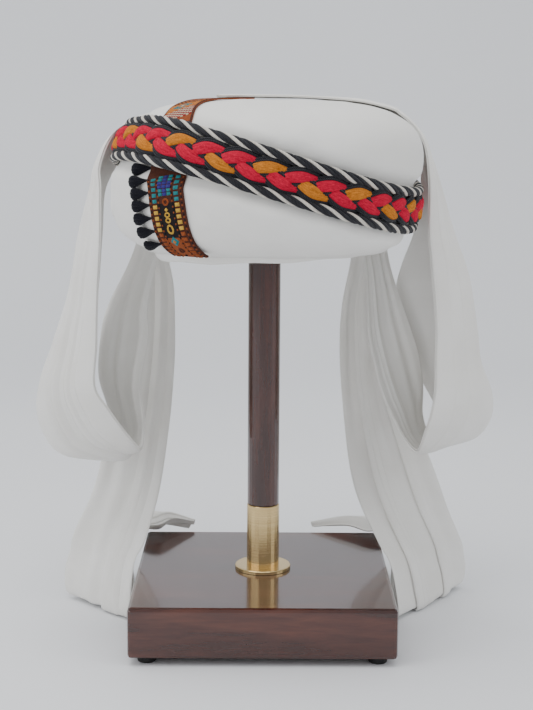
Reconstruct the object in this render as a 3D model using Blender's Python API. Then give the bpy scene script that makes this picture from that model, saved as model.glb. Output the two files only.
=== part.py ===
"""Wound turban with a braided band and two long looped cloth ends, on its post stand.

Metres, +Z up, X to the right as seen from the front, Y away from the viewer.
The origin lies on the floor under the middle of the post. Tables are in millimetres.
"""
import math
from collections import namedtuple

import bmesh
import bpy
from mathutils import Vector
from mathutils.bvhtree import BVHTree

MM = 0.001
GAP = 0.0003
FAR_OFF = 0.5

# Stand
BASE_SIDE = 0.220
BASE_BOTTOM = 0.0065
BASE_TOP = 0.0495
BASE_ROUNDING = 0.003
FOOT_RADIUS = 0.0077
FOOT_OFFSET = 0.095
DISC_RADIUS = 0.0243
DISC_THICKNESS = 0.003
COLLAR_RADIUS = 0.0141
COLLAR_TOP = 0.1076
POST_RADIUS = 0.0138
SPIGOT_RADIUS = 0.0122
EDGE_BREAK = 0.0006
TURNED_SIDES = 24
FOOT_SIDES = 14

# Turban, measured from the centre of its body
CENTRE = Vector((0.001, 0.0, 0.391))
HALF_WIDTH = 0.1295
HALF_DEPTH = 0.1375
HEIGHT_ABOVE = 0.0640
HEIGHT_BELOW = 0.0640
PLAN_POWER = 2.2
POWER_ABOVE = 3.4
POWER_BELOW = 4.2
CROWN_LEAN = 0.0035
RIM_SLOPE = 0.03
RIM_ROLL = 0.04
UNDERSIDE_AT = 0.80
HOLLOW_WIDTH = 0.0775
HOLLOW_DEPTH = 0.0920
HOLLOW_MOUTH = 0.3260
HOLLOW_TOP = 0.4400
HOLLOW_POWER = 3.5
HOLLOW_SHARES = (0.998, 0.96, 0.85, 0.62, 0.33)
BODY_SIDES = 56
WRAPS = 11
WRAP_STEP = 0.0020
WRAP_SLANT = math.radians(40)

# Braided band
PLAIT_HALF = 0.0102
PLAIT_SWING = 0.0050
PLAIT_STRAND = 0.0052
PLAIT_LIFT = 0.0016
PLAIT_THICKNESS = 0.0066
PLAIT_PERIODS = 13
PLAIT_STEPS = 8
ROPE_RADIUS = 0.0039
ROPE_TURNS = 21
ROPE_SIDES = 6
ROPE_STEPS = 5
BAND_SEAT = 0.0008
BAND_PROUD = 0.0035
GROOVE_DEPTH = 0.0068
GROOVE_HALF = 0.0180
GROOVE_FADE = 0.0130
GROOVE_TOP = 0.4450
GROOVE_BOTTOM = 0.3390
BAND_HEIGHT = 0.3965
BAND_TILT = -0.0262
BAND_NOD = 0.0022
BAND_TWIST = -0.0062
BAND_BOW = 0.0022

# Ribbon and tufts
RIBBON_HALF = 0.0170
RIBBON_SEAT = 0.0009
RIBBON_THICKNESS = 0.0011
RIBBON_CALM = 0.028
TUFT_LENGTH = 0.0200
TUFT_RADIUS = 0.0046
TUFT_FLATNESS = 0.62
TUFT_DROOP = 0.12

# The ribbon's middle line, from the rim up under the band and over the crown
RibbonRow = namedtuple("RibbonRow", "x y z half")
RIBBON_ROWS = [
    RibbonRow(-58, -98, 335, 17.0),
    RibbonRow(-67, -110, 350, 17.0),
    RibbonRow(-73, -115, 367, 17.0),
    RibbonRow(-76.5, -116, 383, 17.0),
    RibbonRow(-78, -114, 400, 17.0),
    RibbonRow(-78, -106, 420, 17.0),
    RibbonRow(-75.5, -94, 438, 17.0),
    RibbonRow(-72, -76, 447, 16.5),
    RibbonRow(-65, -50, 453, 16.0),
    RibbonRow(-52, -24, 455, 15.0),
    RibbonRow(-36, 2, 456, 14.0),
    RibbonRow(-20, 24, 456, 13.0),
]
RIBBON_LINE = [Vector((row.x, row.y, row.z)) * MM for row in RIBBON_ROWS]

# The open way for the head, and the plain dome in it that takes the weight
DOME_UNDERSIDE = 0.4180
DOME_SIDES = 28
BLOCK_GAP = 0.0005

STRIP_STEPS = 1
STRIP_ACROSS = 7


def clear_objects():
    for thing in list(bpy.data.objects):
        bpy.data.objects.remove(thing, do_unlink=True)


def finish(name, colour, roughness, metallic=0.0):
    material = bpy.data.materials.new(name)
    material.use_nodes = True
    shader = material.node_tree.nodes["Principled BSDF"]
    shader.inputs["Base Color"].default_value = (*colour, 1.0)
    shader.inputs["Roughness"].default_value = roughness
    shader.inputs["Metallic"].default_value = metallic
    return material


def add_solid(name, points, faces, material, sharp=35):
    mesh = bpy.data.meshes.new(name)
    mesh.from_pydata([tuple(p) for p in points], [], faces)
    mesh.update()
    solid = bpy.data.objects.new(name, mesh)
    bpy.context.collection.objects.link(solid)
    mesh.materials.append(material)
    shaper = bmesh.new()
    shaper.from_mesh(mesh)
    bmesh.ops.recalc_face_normals(shaper, faces=shaper.faces)
    shaper.to_mesh(mesh)
    shaper.free()
    mesh.shade_smooth()
    mesh.set_sharp_from_angle(angle=math.radians(sharp))
    return solid


def skin_rings(rings, closed=False):
    """Points and faces of a tube through rings of equal length; closed joins the last to the first."""
    size = len(rings[0])
    points = [p for ring in rings for p in ring]
    faces = []
    for i in range(len(rings) if closed else len(rings) - 1):
        low = i * size
        high = (i + 1) % len(rings) * size
        for k in range(size):
            after = (k + 1) % size
            faces.append((low + k, low + after, high + after, high + k))
    return points, faces


def close_pole(points, faces, ring_start, size, pole):
    points.append(pole)
    tip = len(points) - 1
    for k in range(size):
        faces.append((ring_start + k, ring_start + (k + 1) % size, tip))


def turned(name, profile, material, hollow=False, sides=TURNED_SIDES):
    """A profile of (radius, height) pairs turned about the post's axis, from bottom to top."""
    turn = [2 * math.pi * k / sides for k in range(sides)]
    rings = []
    for radius, height in profile:
        rings.append([Vector((radius * math.cos(a), radius * math.sin(a), height)) for a in turn])
    points, faces = skin_rings(rings, closed=hollow)
    if not hollow:
        close_pole(points, faces, 0, sides, Vector((0, 0, profile[0][1])))
        last = (len(rings) - 1) * sides
        close_pole(points, faces, last, sides, Vector((0, 0, profile[-1][1])))
    return add_solid(name, points, faces, material)


def smooth_step(value):
    value = min(1.0, max(0.0, value))
    return value * value * (3 - 2 * value)


def bearing(azimuth):
    """Level direction of an azimuth: 0 is the front, 90 degrees the right side."""
    return Vector((math.sin(azimuth), -math.cos(azimuth), 0.0))


def band_height(azimuth):
    """Height of the middle of the braided band, which dips from the left down to the right."""
    return (
        BAND_HEIGHT
        + BAND_TILT * math.sin(azimuth)
        + BAND_NOD * math.cos(azimuth)
        + BAND_TWIST * math.sin(2 * azimuth)
        + BAND_BOW * math.cos(2 * azimuth)
    )


def oval_reach(direction):
    """Distance from the centre to the plain oval of the turban along a direction."""
    x, y, z = direction
    if z > 0:
        x -= CROWN_LEAN * z / HEIGHT_ABOVE
    height = HEIGHT_ABOVE if z > 0 else HEIGHT_BELOW
    power = POWER_ABOVE if z > 0 else POWER_BELOW
    plan = abs(x / HALF_WIDTH) ** PLAN_POWER + abs(y / HALF_DEPTH) ** PLAN_POWER
    return (plan ** (power / PLAN_POWER) + abs(z / height) ** power) ** (-1 / power)


def wrap_relief(azimuth, level):
    """The layers of the winding: slanting steps that fade out under the band and on the crown."""
    turn = WRAPS * (azimuth - WRAP_SLANT * level) / (2 * math.pi)
    part = turn - math.floor(turn)
    rise = smooth_step(part / 0.8) if part < 0.8 else 1 - smooth_step((part - 0.8) / 0.2)
    return WRAP_STEP * (rise - 0.5)


def band_press(direction, reach):
    """1 where the band squeezes the cloth, falling to 0 above and below it."""
    azimuth = math.atan2(direction[0], -direction[1])
    off_band = abs(CENTRE.z + direction[2] * reach - band_height(azimuth))
    return 1 - min(1.0, max(0.0, (off_band - GROOVE_HALF) / GROOVE_FADE))


def body_reach(direction):
    """Distance from the centre to the wound cloth along a direction."""
    reach = oval_reach(direction)
    pressed = band_press(direction, reach)
    azimuth = math.atan2(direction[0], -direction[1])
    level = direction[2] * reach / HEIGHT_ABOVE
    spread = math.hypot(direction[0], direction[1]) * reach
    place = CENTRE + Vector(direction) * reach
    near = min((place - knot).length for knot in RIBBON_LINE)
    folds = smooth_step(spread / (0.75 * HALF_WIDTH)) * (1 - pressed)
    folds *= smooth_step((near - RIBBON_CALM) / RIBBON_CALM)
    return reach - GROOVE_DEPTH * pressed + wrap_relief(azimuth, level) * folds


def on_body(point, lift=0.0):
    """The point moved straight from the centre onto the wound cloth, then lift off it."""
    away = (Vector(point) - CENTRE).normalized()
    side = away.orthogonal().normalized()
    other = away.cross(side)
    step = 0.02
    around = []
    for sign, axis in ((1, side), (1, other), (-1, side), (-1, other)):
        near = (away + axis * sign * step).normalized()
        around.append(near * oval_reach(near))
    normal = (around[0] - around[2]).cross(around[1] - around[3]).normalized()
    if normal.dot(away) < 0:
        normal = -normal
    return CENTRE + away * body_reach(away) + normal * lift


def push_off_turban(point, turban, clearance):
    """The point itself, or the nearest place that is clear of the cloth and of the band on it."""
    away = point - CENTRE
    distance = away.length
    away = away / distance
    surface = turban.ray_cast(CENTRE + away * FAR_OFF, -away)[0]
    pressed = band_press(away, oval_reach(away))
    reach = (surface - CENTRE).length + (GROOVE_DEPTH + BAND_PROUD) * pressed + clearance
    return CENTRE + away * max(distance, reach)


# Turban body
def superellipse(share, power):
    return (1 - share**power) ** (1 / power)


def plan_radius(level):
    """Radius of the widest plan along a level direction."""
    width = abs(level.x / HALF_WIDTH) ** PLAN_POWER
    return (width + abs(level.y / HALF_DEPTH) ** PLAN_POWER) ** (-1 / PLAN_POWER)


def share_at(height):
    """Share of the widest plan that the plain oval has at a height."""
    rise = height - CENTRE.z
    if rise > 0:
        return superellipse(rise / HEIGHT_ABOVE, POWER_ABOVE)
    return superellipse(-rise / HEIGHT_BELOW, POWER_BELOW)


def body_levels(azimuth):
    """Share of the plan and height of each outer row: the crown, the band's groove, the roll below."""
    middle = band_height(azimuth)
    edge = GROOVE_HALF + GROOVE_FADE
    top = min(middle + edge, GROOVE_TOP)
    bottom = max(middle - edge, GROOVE_BOTTOM)
    levels = []
    for part in (0.27, 0.52, 0.74, 0.90):
        share = part * share_at(top)
        levels.append((share, CENTRE.z + HEIGHT_ABOVE * superellipse(share, POWER_ABOVE)))
    inner = [middle + GROOVE_HALF * part for part in (1, 0.35, -0.35, -1)]
    for height in (top, *inner, bottom):
        levels.append((share_at(height), height))
    start = share_at(bottom)
    for part in (0.35, 0.7, 1.0):
        share = start + (UNDERSIDE_AT - start) * part
        levels.append((share, CENTRE.z - HEIGHT_BELOW * superellipse(share, POWER_BELOW)))
    return levels


def body_rows():
    """Rings of the outside, from the crown to the underside."""
    columns = []
    for k in range(BODY_SIDES):
        azimuth = 2 * math.pi * k / BODY_SIDES
        level = bearing(azimuth)
        column = []
        for share, height in body_levels(azimuth):
            rise = height - CENTRE.z
            flat = level * plan_radius(level) * share
            lean = CROWN_LEAN * max(rise, 0) / HEIGHT_ABOVE
            away = (flat + Vector((lean, 0, rise))).normalized()
            point = CENTRE + away * body_reach(away)
            point.z -= RIM_SLOPE * point.y * smooth_step(-2.5 * rise / HEIGHT_BELOW - 1.5)
            column.append(point)
        columns.append(column)
    return [list(row) for row in zip(*columns)]


def oval_row(width, depth, height, sides=BODY_SIDES):
    ring = []
    for k in range(sides):
        level = bearing(2 * math.pi * k / sides)
        ring.append(Vector((CENTRE.x + level.x * width, level.y * depth, height)))
    return ring


def hollow_height(share, gap=0.0):
    """Height of the hollow's ceiling at a share of its plan."""
    tall = HOLLOW_TOP - HOLLOW_MOUTH - gap
    return HOLLOW_MOUTH + tall * superellipse(share, HOLLOW_POWER)


def build_body(material):
    rings = body_rows()
    underside = rings[-1]
    mouth = oval_row(HOLLOW_WIDTH, HOLLOW_DEPTH, HOLLOW_MOUTH + 0.003)
    for part, height in ((0.35, 0.3345), (0.42, 0.3275), (0.85, 0.3262)):
        ring = []
        for outer, inner in zip(underside, mouth):
            point = outer.lerp(inner, part)
            roll = RIM_ROLL * smooth_step((part - 0.3) / 0.1)
            point.z = height - RIM_SLOPE * point.y + roll * point.x
            ring.append(point)
        rings.append(ring)
    rings.append([Vector((p.x, p.y, p.z - RIM_SLOPE * p.y + RIM_ROLL * p.x)) for p in mouth])
    for share in HOLLOW_SHARES:
        width = HOLLOW_WIDTH * share
        rings.append(oval_row(width, HOLLOW_DEPTH * share, hollow_height(share)))
    points, faces = skin_rings(rings)
    top = CENTRE + Vector((CROWN_LEAN, 0, HEIGHT_ABOVE))
    close_pole(points, faces, 0, BODY_SIDES, top)
    last = (len(rings) - 1) * BODY_SIDES
    close_pole(points, faces, last, BODY_SIDES, Vector((CENTRE.x, 0, HOLLOW_TOP)))
    add_solid("turban_body", points, faces, material, 60)
    return BVHTree.FromPolygons(points, faces)


# Braided band
def band_frame(azimuth):
    """Place on the cloth, direction along the band, direction up across it and outward normal."""
    level = bearing(azimuth)
    height = band_height(azimuth)
    place = on_body(CENTRE + level * HALF_WIDTH + Vector((0, 0, height - CENTRE.z)))
    step = 0.03
    ends = []
    for sign in (-1, 1):
        near = azimuth + sign * step
        rise = Vector((0, 0, band_height(near) - CENTRE.z))
        ends.append(on_body(CENTRE + bearing(near) * HALF_WIDTH + rise))
    along = (ends[1] - ends[0]).normalized()
    outward = on_body(place, 0.01) - on_body(place)
    across = outward.normalized().cross(along).normalized()
    return place, along, across, along.cross(across)


def band_point(frame, offset, lift):
    """A point of the band, offset up across it and lift off the cloth."""
    place, _, across, _ = frame
    return on_body(place + across * offset, lift)


def plait_height(offset, turn):
    """Height of the three-strand plait's face at an offset across it; turn counts its periods."""
    best = 0.0
    for strand in range(3):
        phase = 2 * math.pi * (turn + strand / 3)
        aside = (offset - PLAIT_SWING * math.sin(phase)) / PLAIT_STRAND
        if abs(aside) < 1:
            crest = PLAIT_LIFT * math.sin(2 * phase) + PLAIT_THICKNESS * math.sqrt(1 - aside * aside)
            best = max(best, crest)
    return best


def ribbon_lift(place):
    """How much higher the band rides where it crosses the ribbon."""
    near = min((place - knot).length for knot in RIBBON_LINE)
    return (RIBBON_SEAT + RIBBON_THICKNESS) * (1 - smooth_step((near - 0.020) / 0.015))


def build_plait(material):
    top = [PLAIT_HALF * share for share in (-1, -0.66, -0.33, 0, 0.33, 0.66, 1)]
    rings = []
    stations = PLAIT_PERIODS * PLAIT_STEPS
    for i in range(stations):
        turn = i / PLAIT_STEPS
        frame = band_frame(2 * math.pi * i / stations)
        seat = BAND_SEAT + ribbon_lift(frame[0])
        ring = [band_point(frame, v, seat) for v in (PLAIT_HALF, 0, -PLAIT_HALF)]
        for offset in top:
            rise = max(0.0022, plait_height(offset * 0.93, turn))
            ring.append(band_point(frame, offset, seat + rise))
        rings.append(ring)
    return add_solid("braid_plait", *skin_rings(rings, closed=True), material)


def build_rope(name, side, material):
    """A laid rope along one edge of the plait: a six-sided section that turns as it goes."""
    stations = ROPE_TURNS * ROPE_STEPS
    rings = []
    for i in range(stations):
        frame = band_frame(2 * math.pi * i / stations)
        offset = side * (PLAIT_HALF + GAP + ROPE_RADIUS)
        lift = BAND_SEAT + ribbon_lift(frame[0] + frame[2] * offset) + ROPE_RADIUS
        middle = band_point(frame, offset, lift)
        outward = (band_point(frame, offset, lift + 0.01) - middle).normalized()
        up = outward.cross(frame[1]).normalized()
        ring = []
        for k in range(ROPE_SIDES):
            angle = 2 * math.pi * (k / ROPE_SIDES - i / ROPE_STEPS)
            ring.append(middle + (outward * math.cos(angle) + up * math.sin(angle)) * ROPE_RADIUS)
        rings.append(ring)
    return add_solid(name, *skin_rings(rings, closed=True), material)


# Embroidered ribbon
def spline(before, start, end, after, part):
    """A point between start and end on the smooth curve through the four values."""
    square = part * part
    cube = square * part
    return (
        start * 2
        + (end - before) * part
        + (before * 2 - start * 5 + end * 4 - after) * square
        + (start * 3 - before - end * 3 + after) * cube
    ) * 0.5


def refine(values, steps):
    """The values with smooth ones added between, steps to each interval."""
    fine = []
    last = len(values) - 1
    for i in range(last):
        before = values[max(i - 1, 0)]
        after = values[min(i + 2, last)]
        for k in range(steps):
            fine.append(spline(before, values[i], values[i + 1], after, k / steps))
    fine.append(values[last])
    return fine


def ribbon_stations(steps):
    """Place, direction across and half width of the ribbon's stations."""
    line = [on_body(p) for p in refine(RIBBON_LINE, steps)]
    halves = refine([row.half * MM for row in RIBBON_ROWS], steps)
    stations = []
    for i, place in enumerate(line):
        along = line[min(i + 1, len(line) - 1)] - line[max(i - 1, 0)]
        outward = on_body(place, 0.01) - on_body(place)
        stations.append((place, along.cross(outward).normalized(), halves[i]))
    return stations


def build_ribbon(material):
    rings = []
    for place, across, half in ribbon_stations(4):
        shares = (-1, -0.33, 0.33, 1)
        under = [on_body(place + across * half * s, RIBBON_SEAT) for s in shares]
        over = [on_body(place + across * half * s, RIBBON_SEAT + RIBBON_THICKNESS) for s in shares]
        rings.append(under + over[::-1])
    points, faces = skin_rings(rings)
    for start in (0, (len(rings) - 1) * 8):
        for k in range(3):
            faces.append((start + k, start + k + 1, start + 6 - k, start + 7 - k))
    return add_solid("embroidered_ribbon", points, faces, material)


# Tufts along the ribbon's left edge
TUFT_HEIGHTS = [404.5, 395.0, 385.5, 376.0, 366.0, 356.0, 346.0]
TUFT_PROFILE = [(0.0, 0.24), (0.30, 0.50), (0.62, 0.98), (0.88, 0.80)]


def build_tuft(number, height, material):
    """A drop-shaped tuft that lies on the cloth, narrow at the ribbon and round at its free end."""
    stations = ribbon_stations(8)
    above = next(i for i, station in enumerate(stations) if station[0].z >= height)
    low, high = stations[above - 1], stations[above]
    part = (height - low[0].z) / (high[0].z - low[0].z)
    place, across = (low[k].lerp(high[k], part) for k in (0, 1))
    half = low[2] + (high[2] - low[2]) * part
    level = Vector((across.x, across.y, 0)).normalized()
    if level.x > 0:
        level = -level
    start = half / abs(level.dot(across)) + 2 * GAP
    across = level - Vector((0, 0, TUFT_DROOP))
    seat = 2 * GAP
    rings = []
    for reach, swell in TUFT_PROFILE:
        radius = TUFT_RADIUS * swell
        out = place + across * (start + TUFT_LENGTH * reach)
        centre = on_body(out, seat + radius * TUFT_FLATNESS)
        outward = (on_body(centre, 0.01) - on_body(centre)).normalized()
        up = outward.cross(across).normalized()
        ring = []
        for k in range(6):
            angle = 2 * math.pi * k / 6
            flat = outward * math.cos(angle) * TUFT_FLATNESS
            ring.append(centre + (flat + up * math.sin(angle)) * radius)
        rings.append(ring)
    points, faces = skin_rings(rings)
    close_pole(points, faces, 0, 6, sum(rings[0], Vector()) / 6)
    tip = on_body(place + across * (start + TUFT_LENGTH), seat + 0.5 * TUFT_RADIUS * TUFT_FLATNESS)
    close_pole(points, faces, (len(rings) - 1) * 6, 6, tip)
    return add_solid(f"tuft_{number}", points, faces, material, 60)


# Cloth ends. Each row is a section of the strip: its two edges, its middle, its
# thickness and the depth of its pleats.
Section = namedtuple("Section", "edge middle other thick pleat")

LEFT_LOOP = [
    Section((-58, 60, 448), (-60, 73, 446), (-60, 86, 440), 4.0, 0.5),
    Section((-89, 54, 443), (-88, 69, 440), (-84, 84, 432), 4.0, 0.6),
    Section((-118, 36, 434), (-115, 56, 431), (-104, 76, 419), 4.0, 0.8),
    Section((-132, 20, 421), (-134, 44, 418), (-122, 68, 407), 4.0, 1.0),
    Section((-140, 11, 398), (-147, 38, 396), (-135, 62, 388), 4.0, 1.4),
    Section((-139, 5, 380), (-152, 36, 378), (-141, 60, 370), 4.0, 1.6),
    Section((-139, -4, 337), (-162, 28, 336), (-143, 56, 334), 4.0, 2.0),
    Section((-142, -8, 287), (-172, 24, 285), (-148, 56, 283), 4.0, 2.0),
    Section((-143, -12, 249), (-184, 22, 246), (-155, 56, 245), 4.0, 2.0),
    Section((-145, -14, 214), (-195, 20, 212), (-165, 56, 210), 4.0, 2.0),
    Section((-134, -13, 194), (-197, 20, 180), (-172, 56, 180), 4.5, 2.0),
    Section((-123, -8, 176), (-182, 22, 150), (-170, 58, 160), 5.0, 2.0),
    Section((-113, -2, 162), (-155, 26, 140), (-158, 60, 150), 5.0, 1.6),
    Section((-107, 9, 155), (-131, 31, 140), (-146, 62, 154), 5.0, 1.4),
    Section((-106, 22, 172), (-121, 40, 160), (-142, 62, 174), 5.0, 1.4),
    Section((-110, 34, 206), (-130, 50, 206), (-150, 60, 208), 4.5, 2.0),
    Section((-103, 42, 248), (-126, 55, 248), (-147, 62, 248), 4.5, 2.2),
    Section((-104, 46, 273), (-122, 57, 273), (-141, 66, 273), 4.5, 2.0),
    Section((-98, 50, 304), (-111, 59, 304), (-125, 66, 304), 4.5, 1.4),
    Section((-91, 54, 328), (-102, 61, 329), (-114, 68, 330), 4.5, 0.8),
]
RIGHT_LOOP = [
    Section((-42, 31, 458), (-42, 42, 459), (-42, 53, 457), 4.0, 0.6),
    Section((9, 28, 458), (9, 39, 459), (9, 50, 457), 4.0, 0.8),
    Section((45, 28, 457), (45, 38, 458), (45, 50, 456), 4.0, 0.8),
    Section((81, 26, 454), (80, 37, 456), (78, 50, 451), 4.0, 0.8),
    Section((107, 20, 448), (104, 34, 450), (99, 52, 443), 4.0, 1.0),
    Section((114.5, 18, 443.5), (112.5, 33, 445), (106.5, 53, 437.5), 4.0, 1.0),
    Section((121, 16, 438), (120, 32, 438.5), (113, 54, 430), 4.0, 1.0),
    Section((131, 12, 426), (132, 30, 426), (124, 54, 420), 4.0, 1.2),
    Section((136, 8, 413), (140, 30, 412), (134, 54, 409), 4.0, 1.4),
    Section((138, 2, 390), (149, 28, 389), (138, 58, 386), 4.0, 1.6),
    Section((138, -4, 348), (162, 26, 346), (134, 62, 343), 4.0, 2.0),
    Section((141, -9, 318), (172, 26, 316), (124, 64, 312), 4.0, 2.0),
    Section((144, -12, 291), (178, 24, 289), (119, 66, 286), 4.0, 2.0),
    Section((146, -14, 259), (183, 22, 257), (122, 67, 254), 4.0, 2.0),
    Section((146, -16, 234), (187, 20, 232), (130, 68, 230), 4.0, 2.0),
    Section((146, -16, 209), (197, 18, 206), (144, 66, 206), 4.0, 2.0),
    Section((143, -16, 190), (199, 18, 183), (156, 64, 184), 4.5, 1.6),
    Section((139, -12, 175), (189, 20, 165), (162, 62, 169), 4.5, 1.4),
    Section((136, -6, 162), (167, 22, 157), (157, 60, 160), 4.5, 1.2),
    Section((133, 3, 155), (148, 26, 152), (147, 58, 162), 4.5, 1.2),
    Section((124, 13, 164), (136, 34, 164), (143, 54, 178), 4.5, 1.4),
    Section((113, 20, 183), (130, 39, 186), (143, 52, 196), 4.5, 1.6),
    Section((105, 25, 200), (124, 41, 204), (142, 50, 211), 4.5, 2.0),
    Section((98, 30, 226), (117, 43, 228), (138, 48, 232), 4.5, 2.0),
    Section((92, 34, 257), (109, 45, 258), (129, 48, 259), 4.5, 2.0),
    Section((90, 42, 300), (102, 50, 301), (114, 54, 302), 4.5, 1.4),
    Section((87, 48, 327), (97, 56, 328), (108, 61, 329), 4.5, 0.8),
]
LEFT_TAIL = [
    Section((-102, 74, 371), (-90, 87, 371), (-77, 98, 371), 4.0, 0.4),
    Section((-104, 76, 347), (-93, 87, 347), (-79, 98, 347), 4.0, 0.8),
    Section((-118, 87, 322), (-104, 97, 321), (-89, 105, 320), 4.5, 1.4),
    Section((-123, 93, 283), (-103, 98, 283), (-83, 98, 283), 4.5, 2.2),
    Section((-131, 90, 225), (-106, 91, 225), (-82, 88, 225), 4.5, 2.4),
    Section((-142, 82, 165), (-113, 79, 165), (-86, 74, 166), 4.5, 2.4),
    Section((-155, 73, 104), (-124, 63, 105), (-94, 51, 106), 4.5, 2.4),
    Section((-173, 67, 62), (-140, 44, 63), (-105, 21, 67), 4.5, 2.0),
    Section((-177, 65, 45), (-144, 38, 46), (-113, 12, 52), 4.5, 2.0),
    Section((-182, 61, 24), (-149, 30, 24), (-116, 2, 27), 4.5, 2.0),
    Section((-179, 58, 4.5), (-148, 27, 4), (-117, -3, 5), 4.5, 0.8),
    Section((-160, 72, 4), (-136, 50, 4), (-115, 24, 4), 4.5, 0.6),
    Section((-152, 98, 12), (-134, 86, 15), (-119, 66, 16), 8.0, 0.8),
    Section((-146, 118, 34), (-133, 104, 42), (-122, 80, 46), 9.0, 0.8),
    Section((-136, 125, 48), (-122, 105, 56), (-112, 82, 60), 10.0, 0.8),
    Section((-118, 130, 54), (-104, 112, 61), (-97, 80, 61), 13.0, 0.8),
    Section((-98, 133, 53), (-91, 120, 61), (-85, 104, 61), 13.0, 0.8),
    Section((-72, 134, 46), (-66, 127, 53), (-66, 119, 55), 10.0, 0.6),
]
RIGHT_TAIL = [
    Section((77, 98, 349), (91, 87, 349), (103, 74, 349), 4.0, 0.4),
    Section((79, 99, 337), (93, 88, 337), (105, 76, 337), 4.0, 0.8),
    Section((80, 106, 312), (98, 98, 312), (113, 88, 312), 4.5, 1.4),
    Section((72, 101, 270), (93, 101, 270), (115, 92, 270), 4.5, 2.2),
    Section((70, 96, 228), (95, 96, 228), (121, 88, 229), 4.5, 2.4),
    Section((73, 89, 182), (101, 88, 183), (132, 82, 184), 4.5, 2.4),
    Section((80, 74, 122), (116, 76, 121), (158, 80, 119), 4.5, 2.4),
    Section((90, 54, 89), (128, 65, 85), (172, 86, 80), 4.5, 2.4),
    Section((104, 26, 64), (142, 56, 55), (187, 93, 46), 4.5, 2.0),
    Section((113, 14, 50), (147, 50, 41), (190, 96, 32), 4.5, 2.0),
    Section((118, 4, 28), (152, 46, 22), (192, 98, 17), 4.5, 2.0),
    Section((121, 1, 5), (154, 44, 4), (188, 94, 4.5), 4.5, 0.8),
    Section((117, 26, 4), (144, 64, 4), (170, 104, 4), 4.5, 0.6),
    Section((120, 66, 16), (136, 88, 15), (152, 110, 12), 8.0, 0.8),
    Section((122, 84, 46), (134, 106, 42), (146, 122, 34), 9.0, 0.8),
    Section((112, 84, 60), (122, 106, 56), (135, 126, 48), 10.0, 0.8),
    Section((97, 85, 60), (103, 112, 60), (115, 131, 52), 12.0, 0.8),
    Section((79, 105, 60), (80, 122, 58), (84, 134, 49), 12.0, 0.8),
    Section((47, 120, 52), (47, 128, 53), (50, 135, 46), 9.0, 0.6),
]
PLEATS = 4
OVER_CROWN = 0.0036
UNDER_BAND = 0.0006


def strip_section(edge, middle, other, along, thick, pleat, turban, clearance):
    """The two faces of a strip's section, bent through its edges and middle and pleated."""
    places = []
    for k in range(STRIP_ACROSS):
        u = 2 * k / (STRIP_ACROSS - 1) - 1
        places.append(edge * (u * (u - 1) / 2) + middle * (1 - u * u) + other * (u * (u + 1) / 2))
    near, far = [], []
    for k, place in enumerate(places):
        width = places[min(k + 1, STRIP_ACROSS - 1)] - places[max(k - 1, 0)]
        normal = along.cross(width).normalized()
        fold = pleat * math.cos(math.pi * PLEATS * k / (STRIP_ACROSS - 1) * 1.5)
        place = place + normal * fold
        place = push_off_turban(place, turban, clearance + thick / 2)
        near.append(place + normal * thick / 2)
        far.append(place - normal * thick / 2)
    return near + far[::-1]


def build_strip(name, rows, turban, clearance, material):
    edges = refine([Vector(row.edge) * MM for row in rows], STRIP_STEPS)
    middles = refine([Vector(row.middle) * MM for row in rows], STRIP_STEPS)
    others = refine([Vector(row.other) * MM for row in rows], STRIP_STEPS)
    thicks = refine([row.thick * MM for row in rows], STRIP_STEPS)
    pleats = refine([row.pleat * MM for row in rows], STRIP_STEPS)
    rings = []
    for i, middle in enumerate(middles):
        along = (middles[min(i + 1, len(middles) - 1)] - middles[max(i - 1, 0)]).normalized()
        guides = (edges[i], middle, others[i])
        rings.append(strip_section(*guides, along, thicks[i], pleats[i], turban, clearance))
    points, faces = skin_rings(rings)
    size = 2 * STRIP_ACROSS
    for start in (0, (len(rings) - 1) * size):
        for k in range(STRIP_ACROSS - 1):
            faces.append((start + k, start + k + 1, start + size - 2 - k, start + size - 1 - k))
    return add_solid(name, points, faces, material, 60)


# Stand
def build_base(material):
    shaper = bmesh.new()
    bmesh.ops.create_cube(shaper, size=1.0)
    tall = BASE_TOP - BASE_BOTTOM
    bmesh.ops.scale(shaper, vec=(BASE_SIDE, BASE_SIDE, tall), verts=shaper.verts)
    bmesh.ops.translate(shaper, vec=(0, 0, BASE_BOTTOM + tall / 2), verts=shaper.verts)
    mesh = bpy.data.meshes.new("stand_base")
    shaper.to_mesh(mesh)
    shaper.free()
    mesh.materials.append(material)
    base = bpy.data.objects.new("stand_base", mesh)
    bpy.context.collection.objects.link(base)
    rounding = base.modifiers.new("rounding", "BEVEL")
    rounding.width = BASE_ROUNDING
    rounding.segments = 2
    return base


def build_feet(material):
    tall = BASE_BOTTOM - GAP
    for number, (x, y) in enumerate(((-1, -1), (1, -1), (-1, 1), (1, 1)), 1):
        profile = [(FOOT_RADIUS - EDGE_BREAK, 0), (FOOT_RADIUS, EDGE_BREAK), (FOOT_RADIUS, tall)]
        foot = turned(f"foot_{number}", profile, material, sides=FOOT_SIDES)
        foot.location = (x * FOOT_OFFSET, y * FOOT_OFFSET, 0)


def build_flange(material):
    low = BASE_TOP + GAP
    high = low + DISC_THICKNESS
    bore = SPIGOT_RADIUS + GAP
    profile = [
        (DISC_RADIUS, low),
        (DISC_RADIUS, high - EDGE_BREAK),
        (DISC_RADIUS - EDGE_BREAK, high),
        (COLLAR_RADIUS, high),
        (COLLAR_RADIUS, COLLAR_TOP - EDGE_BREAK),
        (COLLAR_RADIUS - EDGE_BREAK, COLLAR_TOP),
        (bore, COLLAR_TOP),
        (bore, low),
    ]
    return turned("brass_flange", profile, material, hollow=True)


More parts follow.
